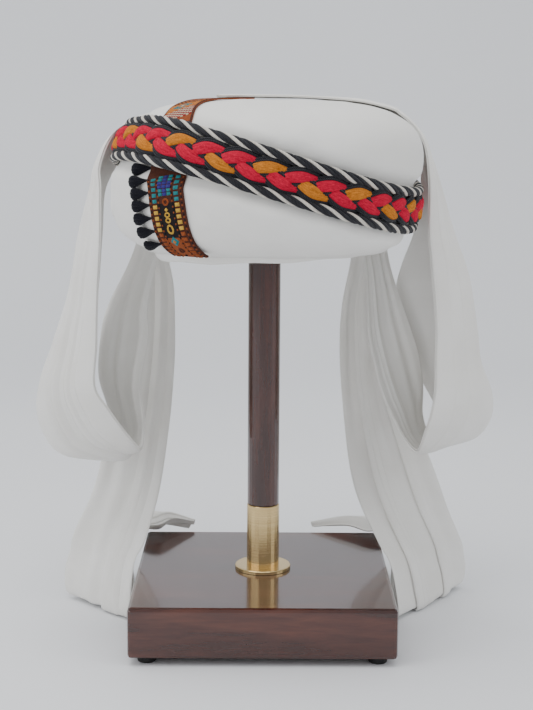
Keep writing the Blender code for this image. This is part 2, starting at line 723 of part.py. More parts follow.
def build_post(material):
    shoulder = COLLAR_TOP + GAP
    profile = [
        (SPIGOT_RADIUS, BASE_TOP + GAP),
        (SPIGOT_RADIUS, shoulder),
        (POST_RADIUS - EDGE_BREAK, shoulder),
        (POST_RADIUS, shoulder + EDGE_BREAK),
        (POST_RADIUS, DOME_UNDERSIDE - GAP),
    ]
    return turned("post", profile, material)


def build_dome(material):
    """The plain block on the post's end that fits the top of the hollow and takes the weight."""
    shares = HOLLOW_SHARES[-2:]
    rings = []
    for part in (0.7, 1.0):
        reach = part * shares[0]
        width = HOLLOW_WIDTH * reach
        rings.append(oval_row(width, HOLLOW_DEPTH * reach, DOME_UNDERSIDE, DOME_SIDES))
    for share in shares:
        height = hollow_height(share) - BLOCK_GAP
        width = HOLLOW_WIDTH * share
        rings.append(oval_row(width, HOLLOW_DEPTH * share, height, DOME_SIDES))
    points, faces = skin_rings(rings)
    close_pole(points, faces, 0, DOME_SIDES, Vector((CENTRE.x, 0, DOME_UNDERSIDE)))
    top = Vector((CENTRE.x, 0, HOLLOW_TOP - BLOCK_GAP))
    close_pole(points, faces, (len(rings) - 1) * DOME_SIDES, DOME_SIDES, top)
    return add_solid("crown_block", points, faces, material)


def main():
    clear_objects()
    cotton = finish("white_cotton", (0.86, 0.85, 0.81), 0.85)
    wool = finish("braid_wool", (0.62, 0.03, 0.07), 0.9)
    rope = finish("black_rope", (0.03, 0.03, 0.04), 0.85)
    embroidery = finish("embroidery", (0.36, 0.13, 0.06), 0.8)
    tuft = finish("black_tuft", (0.02, 0.02, 0.03), 0.9)
    wood = finish("polished_wood", (0.14, 0.035, 0.02), 0.25)
    brass = finish("brushed_brass", (0.80, 0.60, 0.32), 0.3, 1.0)
    rubber = finish("foot_rubber", (0.03, 0.03, 0.03), 0.7)

    build_base(wood)
    build_feet(rubber)
    build_flange(brass)
    build_post(wood)
    build_dome(wood)
    turban = build_body(cotton)
    build_ribbon(embroidery)
    build_plait(wool)
    build_rope("rope_upper", 1, rope)
    build_rope("rope_lower", -1, rope)
    for number, height in enumerate(TUFT_HEIGHTS, 1):
        build_tuft(number, height * MM, tuft)
    build_strip("left_loop", LEFT_LOOP, turban, OVER_CROWN, cotton)
    build_strip("right_loop", RIGHT_LOOP, turban, OVER_CROWN, cotton)
    build_strip("left_tail", LEFT_TAIL, turban, UNDER_BAND, cotton)
    build_strip("right_tail", RIGHT_TAIL, turban, UNDER_BAND, cotton)


main()
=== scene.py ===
"""Looks of the wound turban on its post stand: cloth, braided band, ropes, ribbon, tufts and stand.

Metres, in the row's frame. Tables are in millimetres. Azimuth 0 is the front, 90 degrees the right.
"""
import math
from collections import namedtuple

import bpy
import numpy as np
from mathutils import Matrix, Vector, noise


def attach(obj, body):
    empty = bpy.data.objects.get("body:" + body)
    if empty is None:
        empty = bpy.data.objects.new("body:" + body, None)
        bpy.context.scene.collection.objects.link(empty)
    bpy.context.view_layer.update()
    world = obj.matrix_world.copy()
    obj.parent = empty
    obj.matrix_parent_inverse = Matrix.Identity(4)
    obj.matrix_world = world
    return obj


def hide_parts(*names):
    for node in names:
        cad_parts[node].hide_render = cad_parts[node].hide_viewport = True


MM = 0.001
CENTRE = np.array((0.001, 0.0, 0.391))
HALF_WIDTH = 0.1295
HALF_DEPTH = 0.1375
HEIGHT = 0.0640
PLAN_POWER = 2.2
POWER_ABOVE = 3.4
POWER_BELOW = 4.2
CROWN_LEAN = 0.0035
RIM_SLOPE = 0.03
RIM_ROLL = 0.04
UNDERSIDE_AT = 0.80
HOLLOW_WIDTH = 0.0775
HOLLOW_DEPTH = 0.0920
HOLLOW_MOUTH = 0.3260
HOLLOW_TOP = 0.4400
HOLLOW_POWER = 3.5
GROOVE_DEPTH = 0.0068
GROOVE_HALF = 0.0180
GROOVE_FADE = 0.0130

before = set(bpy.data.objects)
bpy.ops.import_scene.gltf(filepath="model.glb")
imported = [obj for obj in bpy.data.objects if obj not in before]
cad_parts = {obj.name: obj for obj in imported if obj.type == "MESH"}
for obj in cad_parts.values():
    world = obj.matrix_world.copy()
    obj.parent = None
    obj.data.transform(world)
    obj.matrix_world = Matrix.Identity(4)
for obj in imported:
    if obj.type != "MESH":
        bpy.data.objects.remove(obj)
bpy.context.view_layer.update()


# Meshes
def new_piece(name, points, faces, materials, nodes, uv=None, index=None, body="root"):
    mesh = bpy.data.meshes.new(name)
    points = np.asarray(points, dtype=float)
    mesh.from_pydata(points.tolist(), [], [tuple(map(int, f)) for f in faces])
    mesh.update()
    for material in materials:
        mesh.materials.append(material)
    if uv is not None:
        layer = mesh.uv_layers.new(name="along")
        corner = np.empty(len(mesh.loops), dtype=np.int32)
        mesh.loops.foreach_get("vertex_index", corner)
        layer.data.foreach_set("uv", np.asarray(uv, dtype=np.float32)[corner].ravel())
    if index is not None:
        mesh.polygons.foreach_set("material_index", np.asarray(index, dtype=np.int32))
    mesh.shade_smooth()
    piece = bpy.data.objects.new(name, mesh)
    bpy.context.collection.objects.link(piece)
    if nodes:
        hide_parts(*nodes)
    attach(piece, body)
    return piece


def grid_faces(rows, columns, closed_rows=False, closed_columns=True):
    """Quads of a grid of points laid out row by row."""
    faces = []
    for i in range(rows if closed_rows else rows - 1):
        low, high = i * columns, (i + 1) % rows * columns
        for k in range(columns if closed_columns else columns - 1):
            after = (k + 1) % columns
            faces.append((low + k, low + after, high + after, high + k))
    return faces


def smooth_step(value):
    value = np.clip(value, 0, 1)
    return value * value * (3 - 2 * value)


def unit(vectors):
    length = np.linalg.norm(vectors, axis=-1, keepdims=True)
    return vectors / np.maximum(length, 1e-9)


def outward_faces(points, faces):
    """The faces, turned round if the closed mesh they make is inside out."""
    points = np.asarray(points)
    volume = 0.0
    for face in faces:
        for i in range(1, len(face) - 1):
            a, b, c = points[face[0]], points[face[i]], points[face[i + 1]]
            volume += np.dot(a, np.cross(b, c))
    return faces if volume > 0 else [tuple(reversed(face)) for face in faces]


def noise_at(points, scale, seed=0.0):
    """Smooth noise from -1 to 1 at each point."""
    flat = np.asarray(points).reshape(-1, 3) * scale + seed
    values = [noise.noise(Vector(p)) for p in flat]
    return np.array(values).reshape(np.asarray(points).shape[:-1])


def refine(values, steps):
    """The rows of values with smooth ones added between, steps to each interval."""
    values = np.asarray(values, dtype=float)
    last = len(values) - 1
    fine = []
    for i in range(last):
        a, b = values[max(i - 1, 0)], values[i]
        c, d = values[i + 1], values[min(i + 2, last)]
        for k in range(steps):
            t = k / steps
            fine.append(
                0.5 * (2 * b + (c - a) * t + (2 * a - 5 * b + 4 * c - d) * t**2
                       + (3 * b - a - 3 * c + d) * t**3)
            )
    fine.append(values[last])
    return np.array(fine)


# The turban's form
def bearing(azimuth):
    azimuth = np.asarray(azimuth, dtype=float)
    return np.stack([np.sin(azimuth), -np.cos(azimuth), np.zeros_like(azimuth)], axis=-1)


def band_height(azimuth):
    azimuth = np.asarray(azimuth, dtype=float)
    return (0.3965 - 0.0262 * np.sin(azimuth) + 0.0022 * np.cos(azimuth)
            - 0.0062 * np.sin(2 * azimuth) + 0.0022 * np.cos(2 * azimuth))


def oval_reach(away):
    """Distance from the centre to the plain oval along unit directions."""
    x, y, z = away[..., 0], away[..., 1], away[..., 2]
    up = z > 0
    x = x - np.where(up, CROWN_LEAN * z / HEIGHT, 0)
    power = np.where(up, POWER_ABOVE, POWER_BELOW)
    plan = np.abs(x / HALF_WIDTH) ** PLAN_POWER + np.abs(y / HALF_DEPTH) ** PLAN_POWER
    return (plan ** (power / PLAN_POWER) + np.abs(z / HEIGHT) ** power) ** (-1 / power)


def body_reach(away):
    """Distance from the centre to the cloth, pressed in under the band."""
    reach = oval_reach(away)
    azimuth = np.arctan2(away[..., 0], -away[..., 1])
    off = np.abs(CENTRE[2] + away[..., 2] * reach - band_height(azimuth))
    return reach - GROOVE_DEPTH * (1 - smooth_step((off - GROOVE_HALF) / GROOVE_FADE))


def on_body(points, lift=0.0):
    """Points moved along their line from the centre onto the cloth, then lift off it."""
    away = unit(np.asarray(points, dtype=float) - CENTRE)
    helper = np.where(np.abs(away[..., 2:3]) < 0.9, np.array((0.0, 0, 1)), np.array((1.0, 0, 0)))
    side = unit(np.cross(away, helper))
    other = np.cross(away, side)
    around = []
    for sign, axis in ((1, side), (1, other), (-1, side), (-1, other)):
        near = unit(away + axis * sign * 0.02)
        around.append(near * oval_reach(near)[..., None])
    normal = unit(np.cross(around[0] - around[2], around[1] - around[3]))
    normal *= np.sign(np.sum(normal * away, axis=-1, keepdims=True))
    return CENTRE + away * body_reach(away)[..., None] + normal * np.asarray(lift)[..., None]


def push_off_turban(points, clearance):
    """The points, moved out where they would come closer to the cloth or band than clearance."""
    away = points - CENTRE
    distance = np.linalg.norm(away, axis=-1)
    away = away / distance[..., None]
    reach = oval_reach(away)
    azimuth = np.arctan2(away[..., 0], -away[..., 1])
    off = np.abs(CENTRE[2] + away[..., 2] * reach - band_height(azimuth))
    proud = 0.0035 * (1 - smooth_step((off - GROOVE_HALF) / GROOVE_FADE))
    return CENTRE + away * np.maximum(distance, reach + proud + clearance)[..., None]


# Materials
class Paint:
    """A Principled material, with helpers for its procedural nodes."""

    def __init__(self, name, roughness, specular=0.5, metallic=0.0):
        self.material = bpy.data.materials.new(name)
        self.material.use_nodes = True
        self.tree = self.material.node_tree
        self.shader = self.tree.nodes["Principled BSDF"]
        self.shader.inputs["Roughness"].default_value = roughness
        self.shader.inputs["Specular IOR Level"].default_value = specular
        self.shader.inputs["Metallic"].default_value = metallic
        self.place = self.tree.nodes.new("ShaderNodeTexCoord")

    def link(self, start, end):
        self.tree.links.new(start, end)

    def coords(self, kind="Object", scale=(1, 1, 1), turn=(0, 0, 0)):
        mapping = self.tree.nodes.new("ShaderNodeMapping")
        mapping.inputs["Scale"].default_value = scale
        mapping.inputs["Rotation"].default_value = turn
        self.link(self.place.outputs[kind], mapping.inputs["Vector"])
        return mapping.outputs["Vector"]

    def noise(self, coords, scale, detail=4.0, rough=0.55, distortion=0.0):
        node = self.tree.nodes.new("ShaderNodeTexNoise")
        node.inputs["Scale"].default_value = scale
        node.inputs["Detail"].default_value = detail
        node.inputs["Roughness"].default_value = rough
        node.inputs["Distortion"].default_value = distortion
        self.link(coords, node.inputs["Vector"])
        return node.outputs["Fac"]

    def wave(self, coords, scale, direction="X", distortion=0.0, detail=2.0, detail_scale=1.0):
        node = self.tree.nodes.new("ShaderNodeTexWave")
        node.bands_direction = direction
        node.inputs["Scale"].default_value = scale
        node.inputs["Distortion"].default_value = distortion
        node.inputs["Detail"].default_value = detail
        node.inputs["Detail Scale"].default_value = detail_scale
        self.link(coords, node.inputs["Vector"])
        return node.outputs["Fac"]

    def ramp(self, value, stops):
        node = self.tree.nodes.new("ShaderNodeValToRGB")
        ramp = node.color_ramp
        while len(ramp.elements) < len(stops):
            ramp.elements.new(0.5)
        for element, (place, colour) in zip(ramp.elements, stops):
            element.position = place
            element.color = (*colour, 1.0)
        self.link(value, node.inputs["Fac"])
        return node.outputs["Color"]

    def maths(self, operation, first, second):
        node = self.tree.nodes.new("ShaderNodeMath")
        node.operation = operation
        for socket, value in zip(node.inputs, (first, second)):
            if isinstance(value, (int, float)):
                socket.default_value = value
            else:
                self.link(value, socket)
        return node.outputs["Value"]

    def colour(self, output):
        self.link(output, self.shader.inputs["Base Color"])
        return self

    def bump(self, height, strength, distance):
        node = self.tree.nodes.new("ShaderNodeBump")
        node.inputs["Strength"].default_value = strength
        node.inputs["Distance"].default_value = distance
        self.link(height, node.inputs["Height"])
        normal = self.shader.inputs["Normal"]
        if normal.links:
            self.link(normal.links[0].from_socket, node.inputs["Normal"])
        self.link(node.outputs["Normal"], normal)
        return self

    def sheen(self, weight, roughness=0.5, tint=(1, 1, 1)):
        self.shader.inputs["Sheen Weight"].default_value = weight
        self.shader.inputs["Sheen Roughness"].default_value = roughness
        self.shader.inputs["Sheen Tint"].default_value = (*tint, 1.0)
        return self


def cotton_paint(name, kind, thread):
    """White cotton: fine crossed threads, faint slubs and soft creases."""
    paint = Paint(name, 0.82, 0.25)
    coords = paint.coords(kind)
    patches = paint.noise(coords, 9.0 if kind == "Object" else 0.02, 3.0)
    paint.colour(paint.ramp(patches, [(0.3, (0.79, 0.775, 0.735)), (0.7, (0.85, 0.84, 0.81))]))
    warp = paint.wave(coords, thread, "X", 0.6, 1.0)
    weft = paint.wave(coords, thread, "Z" if kind == "Object" else "Y", 0.6, 1.0)
    paint.bump(paint.maths("MULTIPLY", warp, weft), 0.12, 0.0002)
    creases = paint.noise(coords, 60.0 if kind == "Object" else 0.12, 4.0, 0.6)
    paint.bump(creases, 0.22, 0.0012)
    return paint.sheen(0.15, 0.6).material


cotton = cotton_paint("white_cotton_wound", "Object", 260.0)
cotton_strip = cotton_paint("white_cotton_folded", "UV", 0.9)


def wool_paint(name, dark, light):
    """Soft wool with fibres along the strand; UV is millimetres along and round it."""
    paint = Paint(name, 0.9, 0.15)
    fibres = paint.noise(paint.coords("UV", (0.22, 1.5, 1)), 1.0, 5.0, 0.7, 0.6)
    fuzz = paint.noise(paint.coords("Object"), 900.0, 3.0, 0.7)
    mixed = paint.maths("ADD", paint.maths("MULTIPLY", fibres, 0.65), paint.maths("MULTIPLY", fuzz, 0.35))
    paint.colour(paint.ramp(mixed, [(0.36, dark), (0.62, light)]))
    paint.bump(mixed, 0.6, 0.0010)
    return paint.sheen(0.25, 0.5, light).material


crimson = wool_paint("crimson_wool", (0.30, 0.004, 0.018), (0.68, 0.014, 0.055))
ochre = wool_paint("ochre_wool", (0.30, 0.085, 0.008), (0.68, 0.24, 0.028))


def cord_paint(name, dark, light, twist):
    """Plied yarn: slanting plies that wind round the cord."""
    paint = Paint(name, 0.8, 0.25)
    plies = paint.wave(paint.coords("UV", (1, 1, 1), (0, 0, math.radians(twist))), 0.28, "X", 0.5, 2.0, 2.0)
    fuzz = paint.noise(paint.coords("Object"), 1500.0, 3.0, 0.7)
    mixed = paint.maths("ADD", paint.maths("MULTIPLY", plies, 0.7), paint.maths("MULTIPLY", fuzz, 0.3))
    paint.colour(paint.ramp(mixed, [(0.25, dark), (0.8, light)]))
    paint.bump(mixed, 0.7, 0.0007)
    return paint.sheen(0.12, 0.5).material


black_yarn = cord_paint("black_yarn", (0.004, 0.004, 0.006), (0.030, 0.031, 0.040), 35)
white_yarn = cord_paint("white_yarn", (0.55, 0.50, 0.42), (0.86, 0.82, 0.75), 35)


# Turban body
Crease = namedtuple("Crease", "x0 z0 x1 z1 height fade")
CREASES = [
    Crease(-33, 452, 28, 421, 0.9, 16),
    Crease(-24, 453, 38, 419, 0.7, 12),
    Crease(52, 447, 86, 408, 0.5, 18),
    Crease(-58, 372, -24, 337, 1.3, 9),
    Crease(-57, 368, -30, 340, 0.9, 4),
    Crease(-55, 380, 2, 336, 1.0, 16),
    Crease(-30, 382, 30, 335, 0.8, 18),
    Crease(0, 372, 44, 334, 0.7, 14),
    Crease(38, 366, 82, 334, 1.1, 10),
    Crease(46, 366, 90, 336, 0.7, 8),
    Crease(-57, 362, -42, 358, 0.5, 4),
    Crease(-55, 355, -38, 350, 0.6, 4),
    Crease(-52, 348, -34, 344, 0.6, 4),
    Crease(-49, 342, -30, 339, 0.5, 3),
    Crease(-122, 392, -100, 352, 0.6, 12),
]


def crease_relief(points):
    """Wrap edges on the front: a sharp step down on one side, easing off on the other."""
    total = np.zeros(points.shape[:-1])
    x, z = points[..., 0] / MM, points[..., 2] / MM
    front = smooth_step((-points[..., 1] / MM - 20) / 30)
    for crease in CREASES:
        along = np.array((crease.x1 - crease.x0, crease.z1 - crease.z0))
        length = np.linalg.norm(along)
        along = along / length
        run = (x - crease.x0) * along[0] + (z - crease.z0) * along[1]
        side = -(x - crease.x0) * along[1] + (z - crease.z0) * along[0]
        ends = smooth_step((run + 6) / 14) * smooth_step((length + 6 - run) / 14)
        step = smooth_step((side + 0.7) / 1.4) * np.exp(-np.maximum(side, 0) / crease.fade)
        total += crease.height * step * ends
    return total * front * MM


def wrap_relief(points):
    """The winding's layers round the sides, the back and the crown."""
    azimuth = np.arctan2(points[..., 0] - CENTRE[0], -(points[..., 1]))
    level = (points[..., 2] - CENTRE[2]) / HEIGHT
    drift = 0.35 * np.sin(3 * azimuth + 1) + 0.25 * np.sin(5 * azimuth + 2 * level)
    turn = 11 * (azimuth - math.radians(40) * level) / (2 * math.pi) + drift
    part = turn - np.floor(turn)
    rise = np.where(part < 0.86, smooth_step(part / 0.86), 1 - smooth_step((part - 0.86) / 0.14))
    spread = np.hypot(points[..., 0], points[..., 1]) / HALF_WIDTH
    hidden = 1 - smooth_step((-points[..., 1] / MM - 20) / 40)
    return 0.0016 * (rise - 0.5) * smooth_step(spread / 0.75) * (0.25 + 0.75 * hidden)


def ribbon_calm(points):
    """0 under the ribbon and tufts, 1 away from them."""
    near = np.min(
        [np.linalg.norm(points - knot, axis=-1) for knot in RIBBON_LINE], axis=0
    )
    return smooth_step((near - 0.018) / 0.010)


def build_body():
    sides, rows = 300, 130
    azimuth = np.linspace(0, 2 * math.pi, sides, endpoint=False)
    level = bearing(azimuth)
    plan = (np.abs(level[:, 0] / HALF_WIDTH) ** PLAN_POWER
            + np.abs(level[:, 1] / HALF_DEPTH) ** PLAN_POWER) ** (-1 / PLAN_POWER)
    rings = []
    lowest = HEIGHT * (1 - UNDERSIDE_AT**POWER_BELOW) ** (1 / POWER_BELOW)
    end = math.atan2(-lowest, UNDERSIDE_AT * 0.13)
    for i in range(1, rows + 1):
        tilt = math.pi / 2 + (end - math.pi / 2) * i / rows
        flat = level * math.cos(tilt)
        away = unit(flat + np.array((0, 0, math.sin(tilt))))
        place = CENTRE + away * body_reach(away)[:, None]
        rings.append((away, place))
    away = np.array([ring[0] for ring in rings])
    place = np.array([ring[1] for ring in rings])
    azimuths = np.arctan2(away[..., 0], -away[..., 1])
    off = np.abs(place[..., 2] - band_height(azimuths))
    free = smooth_step((off - 0.012) / 0.012)
    soft = 0.0009 * noise_at(place, 22.0) + 0.0005 * noise_at(place, 55.0, 7.0)
    relief = (wrap_relief(place) + crease_relief(place) + soft) * free * ribbon_calm(place)
    place = place + away * relief[..., None]
    rise = place[..., 2] - CENTRE[2]
    place[..., 2] -= RIM_SLOPE * place[..., 1] * smooth_step(-2.5 * rise / HEIGHT - 1.5)
    underside = place[-1]
    mouth = np.stack([CENTRE[0] + level[:, 0] * HOLLOW_WIDTH, level[:, 1] * HOLLOW_DEPTH,
                      np.full(sides, HOLLOW_MOUTH + 0.003)], axis=-1)
    extra = []
    for part, height in ((0.12, 0.3285), (0.28, 0.3320), (0.34, 0.3345), (0.38, 0.3310), (0.42, 0.3280),
                         (0.50, 0.3262), (0.62, 0.3256), (0.76, 0.3258), (0.88, 0.3264)):
        ring = underside + (mouth - underside) * part
        roll = RIM_ROLL * smooth_step((part - 0.30) / 0.10)
        ripple = 0.0006 * np.sin(9 * azimuth + 3) * smooth_step((part - 0.3) / 0.1)
        lower = height - RIM_SLOPE * ring[:, 1] + roll * ring[:, 0] + ripple
        blend = smooth_step(part / 0.2)
        ring[:, 2] = underside[:, 2] * (1 - blend) + lower * blend
        extra.append(ring)
    lip = mouth.copy()
    lip[:, 2] += -RIM_SLOPE * lip[:, 1] + RIM_ROLL * lip[:, 0]
    extra.append(lip)
    for share in (0.998, 0.985, 0.96, 0.92, 0.85, 0.75, 0.62, 0.48, 0.33, 0.16):
        height = HOLLOW_MOUTH + (HOLLOW_TOP - HOLLOW_MOUTH) * (1 - share**HOLLOW_POWER) ** (1 / HOLLOW_POWER)
        extra.append(np.stack([CENTRE[0] + level[:, 0] * HOLLOW_WIDTH * share,
                               level[:, 1] * HOLLOW_DEPTH * share, np.full(sides, height)], axis=-1))
    grid = np.concatenate([place, np.array(extra)])
    points = grid.reshape(-1, 3).tolist()
    faces = grid_faces(len(grid), sides)
    top = len(points)
    points.append([CENTRE[0], 0, CENTRE[2] + HEIGHT])
    points.append([CENTRE[0], 0, HOLLOW_TOP])
    last = (len(grid) - 1) * sides
    for k in range(sides):
        faces.append((k, top, (k + 1) % sides))
        faces.append((last + k, last + (k + 1) % sides, top + 1))
    faces = outward_faces(points, faces)
    new_piece("turban_cloth", points, faces, [cotton], ["turban_body"])


# Band
TURNS = 12
PLAIT_SWING = 0.0050
PLAIT_LIFT = 0.0019
WOOL_HALF = 0.0046
CORD_RADIUS = 0.00105
ROPE_RADIUS = 0.0039
ROPE_TURNS = 20
BAND_SEAT = 0.0008


def band_frames(azimuth):
    place = on_body(CENTRE + bearing(azimuth) * HALF_WIDTH
                    + np.stack([0 * azimuth, 0 * azimuth, band_height(azimuth) - CENTRE[2]], axis=-1))
    ends = []
    for sign in (-1, 1):
        near = azimuth + sign * 0.03
        rise = np.stack([0 * near, 0 * near, band_height(near) - CENTRE[2]], axis=-1)
        ends.append(on_body(CENTRE + bearing(near) * HALF_WIDTH + rise))
    along = unit(ends[1] - ends[0])
    outward = unit(on_body(place, 0.01 + 0 * azimuth) - on_body(place))
    across = unit(np.cross(outward, along))
    return place, along, across, np.cross(along, across)


def ribbon_lift(place):
    near = np.min([np.linalg.norm(place - knot, axis=-1) for knot in RIBBON_LINE], axis=0)
    return 0.0020 * (1 - smooth_step((near - 0.020) / 0.015))


def tube(path, outward, radii, sides, flat=1.0):
    """Points of a closed tube round a closed path, with UV in millimetres along and round it."""
    along = unit(np.roll(path, -1, axis=0) - np.roll(path, 1, axis=0))
    side = unit(np.cross(outward, along))
    out = np.cross(along, side)
    angle = np.linspace(0, 2 * math.pi, sides, endpoint=False)
    ring = (side[:, None] * np.cos(angle)[None, :, None] * radii[:, None, None]
            + out[:, None] * np.sin(angle)[None, :, None] * radii[:, None, None] * flat)
    steps = np.linalg.norm(np.roll(path, -1, axis=0) - path, axis=-1)
    run = np.concatenate([[0], np.cumsum(steps)[:-1]]) / MM
    uv = np.stack(np.broadcast_arrays(run[:, None], angle[None] * np.mean(radii) / MM), axis=-1)
    return path[:, None] + ring, uv


def superellipse_tube(path, outward, halves, thick, sides, power=2.6):
    along = unit(np.roll(path, -1, axis=0) - np.roll(path, 1, axis=0))
    side = unit(np.cross(outward, along))
    out = np.cross(along, side)
    angle = np.linspace(0, 2 * math.pi, sides, endpoint=False)
    c = np.sign(np.cos(angle)) * np.abs(np.cos(angle)) ** (2 / power)
    s = np.sign(np.sin(angle)) * np.abs(np.sin(angle)) ** (2 / power)
    ring = (side[:, None] * c[None, :, None] * halves[:, None, None]
            + out[:, None] * s[None, :, None] * thick[:, None, None])
    steps = np.linalg.norm(np.roll(path, -1, axis=0) - path, axis=-1)
    run = np.concatenate([[0], np.cumsum(steps)[:-1]]) / MM
    uv = np.stack(np.broadcast_arrays(run[:, None], (angle * 3.2)[None]), axis=-1)
    return path[:, None] + ring, uv, side, out


class Bundle:
    """Several closed tubes gathered into one mesh."""

    def __init__(self):
        self.points, self.faces, self.uv, self.index = [], [], [], []

    def add(self, grid, uv, material, closed_rows=True):
        start = len(self.points)
        rows, columns = grid.shape[:2]
        self.points.extend(grid.reshape(-1, 3).tolist())
        self.uv.extend(uv.reshape(-1, 2).tolist())
        faces = grid_faces(rows, columns, closed_rows)
        if not closed_rows:
            for row in (0, (rows - 1) * columns):
                faces.append(tuple(row + k for k in range(columns)))
        self.faces.extend(tuple(start + i for i in face) for face in faces)
        self.index.extend([material] * len(faces))

    def piece(self, name, materials, slot, nodes):
        return new_piece(name, self.points, self.faces, materials, nodes, self.uv, self.index)


def build_plait():
    count = TURNS * 48
    azimuth = np.linspace(0, 2 * math.pi, count, endpoint=False)
    place, along, across, outward = band_frames(azimuth)
    bundle = Bundle()
    for strand, colour in ((0, 1), (1, 0), (2, 0)):
        phase = TURNS * azimuth + math.radians(52) + 2 * math.pi * strand / 3
        offset = PLAIT_SWING * np.sin(phase)
        lift = 0.0040 + PLAIT_LIFT * np.sin(2 * phase) + BAND_SEAT + ribbon_lift(place)
        path = on_body(place + across * offset[:, None], lift)
        seen = np.clip(np.sin(2 * phase), 0, 1)
        swell = 0.80 + 0.20 * seen
        ripple = 1 + 0.05 * np.sin(5 * azimuth + strand * 2)
        halves = WOOL_HALF * swell * ripple
        thick = 0.0022 + 0.0005 * seen
        grid, uv, side, out = superellipse_tube(path, outward, halves, thick, 20)
        bundle.add(grid, uv, colour)
        for sign in (-1, 1):
            for step, drop in ((0.0007, 0.0002), (0.0023, 0.0011)):
                cord = path + side * (sign * (halves + step))[:, None] - out * drop
                cord = cord + side * (0.0002 * np.sin(37 * azimuth + step * 9e3))[:, None]
                radii = np.full(count, CORD_RADIUS)
                ring, uv = tube(cord, outward, radii, 8)
                bundle.add(ring, uv, 2)
    bundle.piece("plait_strands", [crimson, ochre, black_yarn], "braid_wool", ["braid_plait"])


def build_rope(name, side, node):
    count = ROPE_TURNS * 30
    azimuth = np.linspace(0, 2 * math.pi, count, endpoint=False)
    place, along, across, outward = band_frames(azimuth)
    offset = side * (0.0102 + 0.0003 + ROPE_RADIUS)
    seat = BAND_SEAT + ribbon_lift(place + across * offset) + ROPE_RADIUS
    middle = on_body(place + across * offset, seat)
    out = unit(on_body(place + across * offset, seat + 0.01) - middle)
    up = unit(np.cross(out, along))
    up *= np.sign(np.sum(up * across, axis=-1, keepdims=True))
    bundle = Bundle()
    for strand in range(6):
        angle = -(ROPE_TURNS * azimuth + math.radians(60)) + strand * math.pi / 3
        white = strand in (0, 3)
        reach = 0.00262 if white else 0.0025
        away = out * np.cos(angle)[:, None] + up * np.sin(angle)[:, None]
        path = middle + away * reach
        radii = np.full(count, 0.00140 if white else 0.00150)
        radii = radii * (1 + 0.04 * np.sin(11 * azimuth + strand))
        ring, uv = tube(path, away, radii, 9)
        bundle.add(ring, uv, 1 if white else 0)
    bundle.piece(name, [black_yarn, white_yarn], "black_rope", [node])


# Embroidered ribbon
RibbonRow = namedtuple("RibbonRow", "x y z half")
RIBBON_ROWS = [
    RibbonRow(-58, -98, 335, 17.0),
    RibbonRow(-67, -110, 350, 17.0),
    RibbonRow(-73, -115, 367, 17.0),
    RibbonRow(-76.5, -116, 383, 17.0),
    RibbonRow(-78, -114, 400, 17.0),
    RibbonRow(-78, -106, 420, 17.0),
    RibbonRow(-75.5, -94, 438, 17.0),
    RibbonRow(-72, -76, 447, 16.5),
    RibbonRow(-65, -50, 453, 16.0),
    RibbonRow(-52, -24, 455, 15.0),
    RibbonRow(-36, 2, 456, 14.0),
    RibbonRow(-20, 24, 456, 13.0),
]
RIBBON_LINE = [np.array((row.x, row.y, row.z)) * MM for row in RIBBON_ROWS]


def ribbon_stations(steps):
    line = on_body(refine(RIBBON_LINE, steps))
    halves = refine([[row.half * MM] for row in RIBBON_ROWS], steps)[:, 0]
    along = np.gradient(line, axis=0)
    outward = on_body(line, np.full(len(line), 0.01)) - on_body(line)
    across = unit(np.cross(along, outward))
    across *= -np.sign(across[:, :1])
    run = np.concatenate([[0], np.cumsum(np.linalg.norm(np.diff(line, axis=0), axis=-1))])
    return line, across, halves, run


def flat_paint(name, colour, roughness=0.85):
    paint = Paint(name, roughness, 0.25)
    threads = paint.noise(paint.coords("Object"), 700.0, 3.0, 0.7)
    dark = tuple(0.55 * c for c in colour)
    paint.colour(paint.ramp(threads, [(0.3, dark), (0.65, colour)]))
    paint.bump(threads, 0.5, 0.0005)
    return paint.material


THREADS = {
    "ground_black": (0.012, 0.009, 0.010),
    "brown": (0.080, 0.022, 0.012),
    "rust": (0.300, 0.070, 0.018),
    "orange": (0.560, 0.190, 0.040),
    "yellow": (0.640, 0.380, 0.060),
    "teal": (0.018, 0.210, 0.230),
    "blue": (0.040, 0.035, 0.230),
    "cream": (0.660, 0.560, 0.400),
    "red": (0.330, 0.020, 0.030),
}


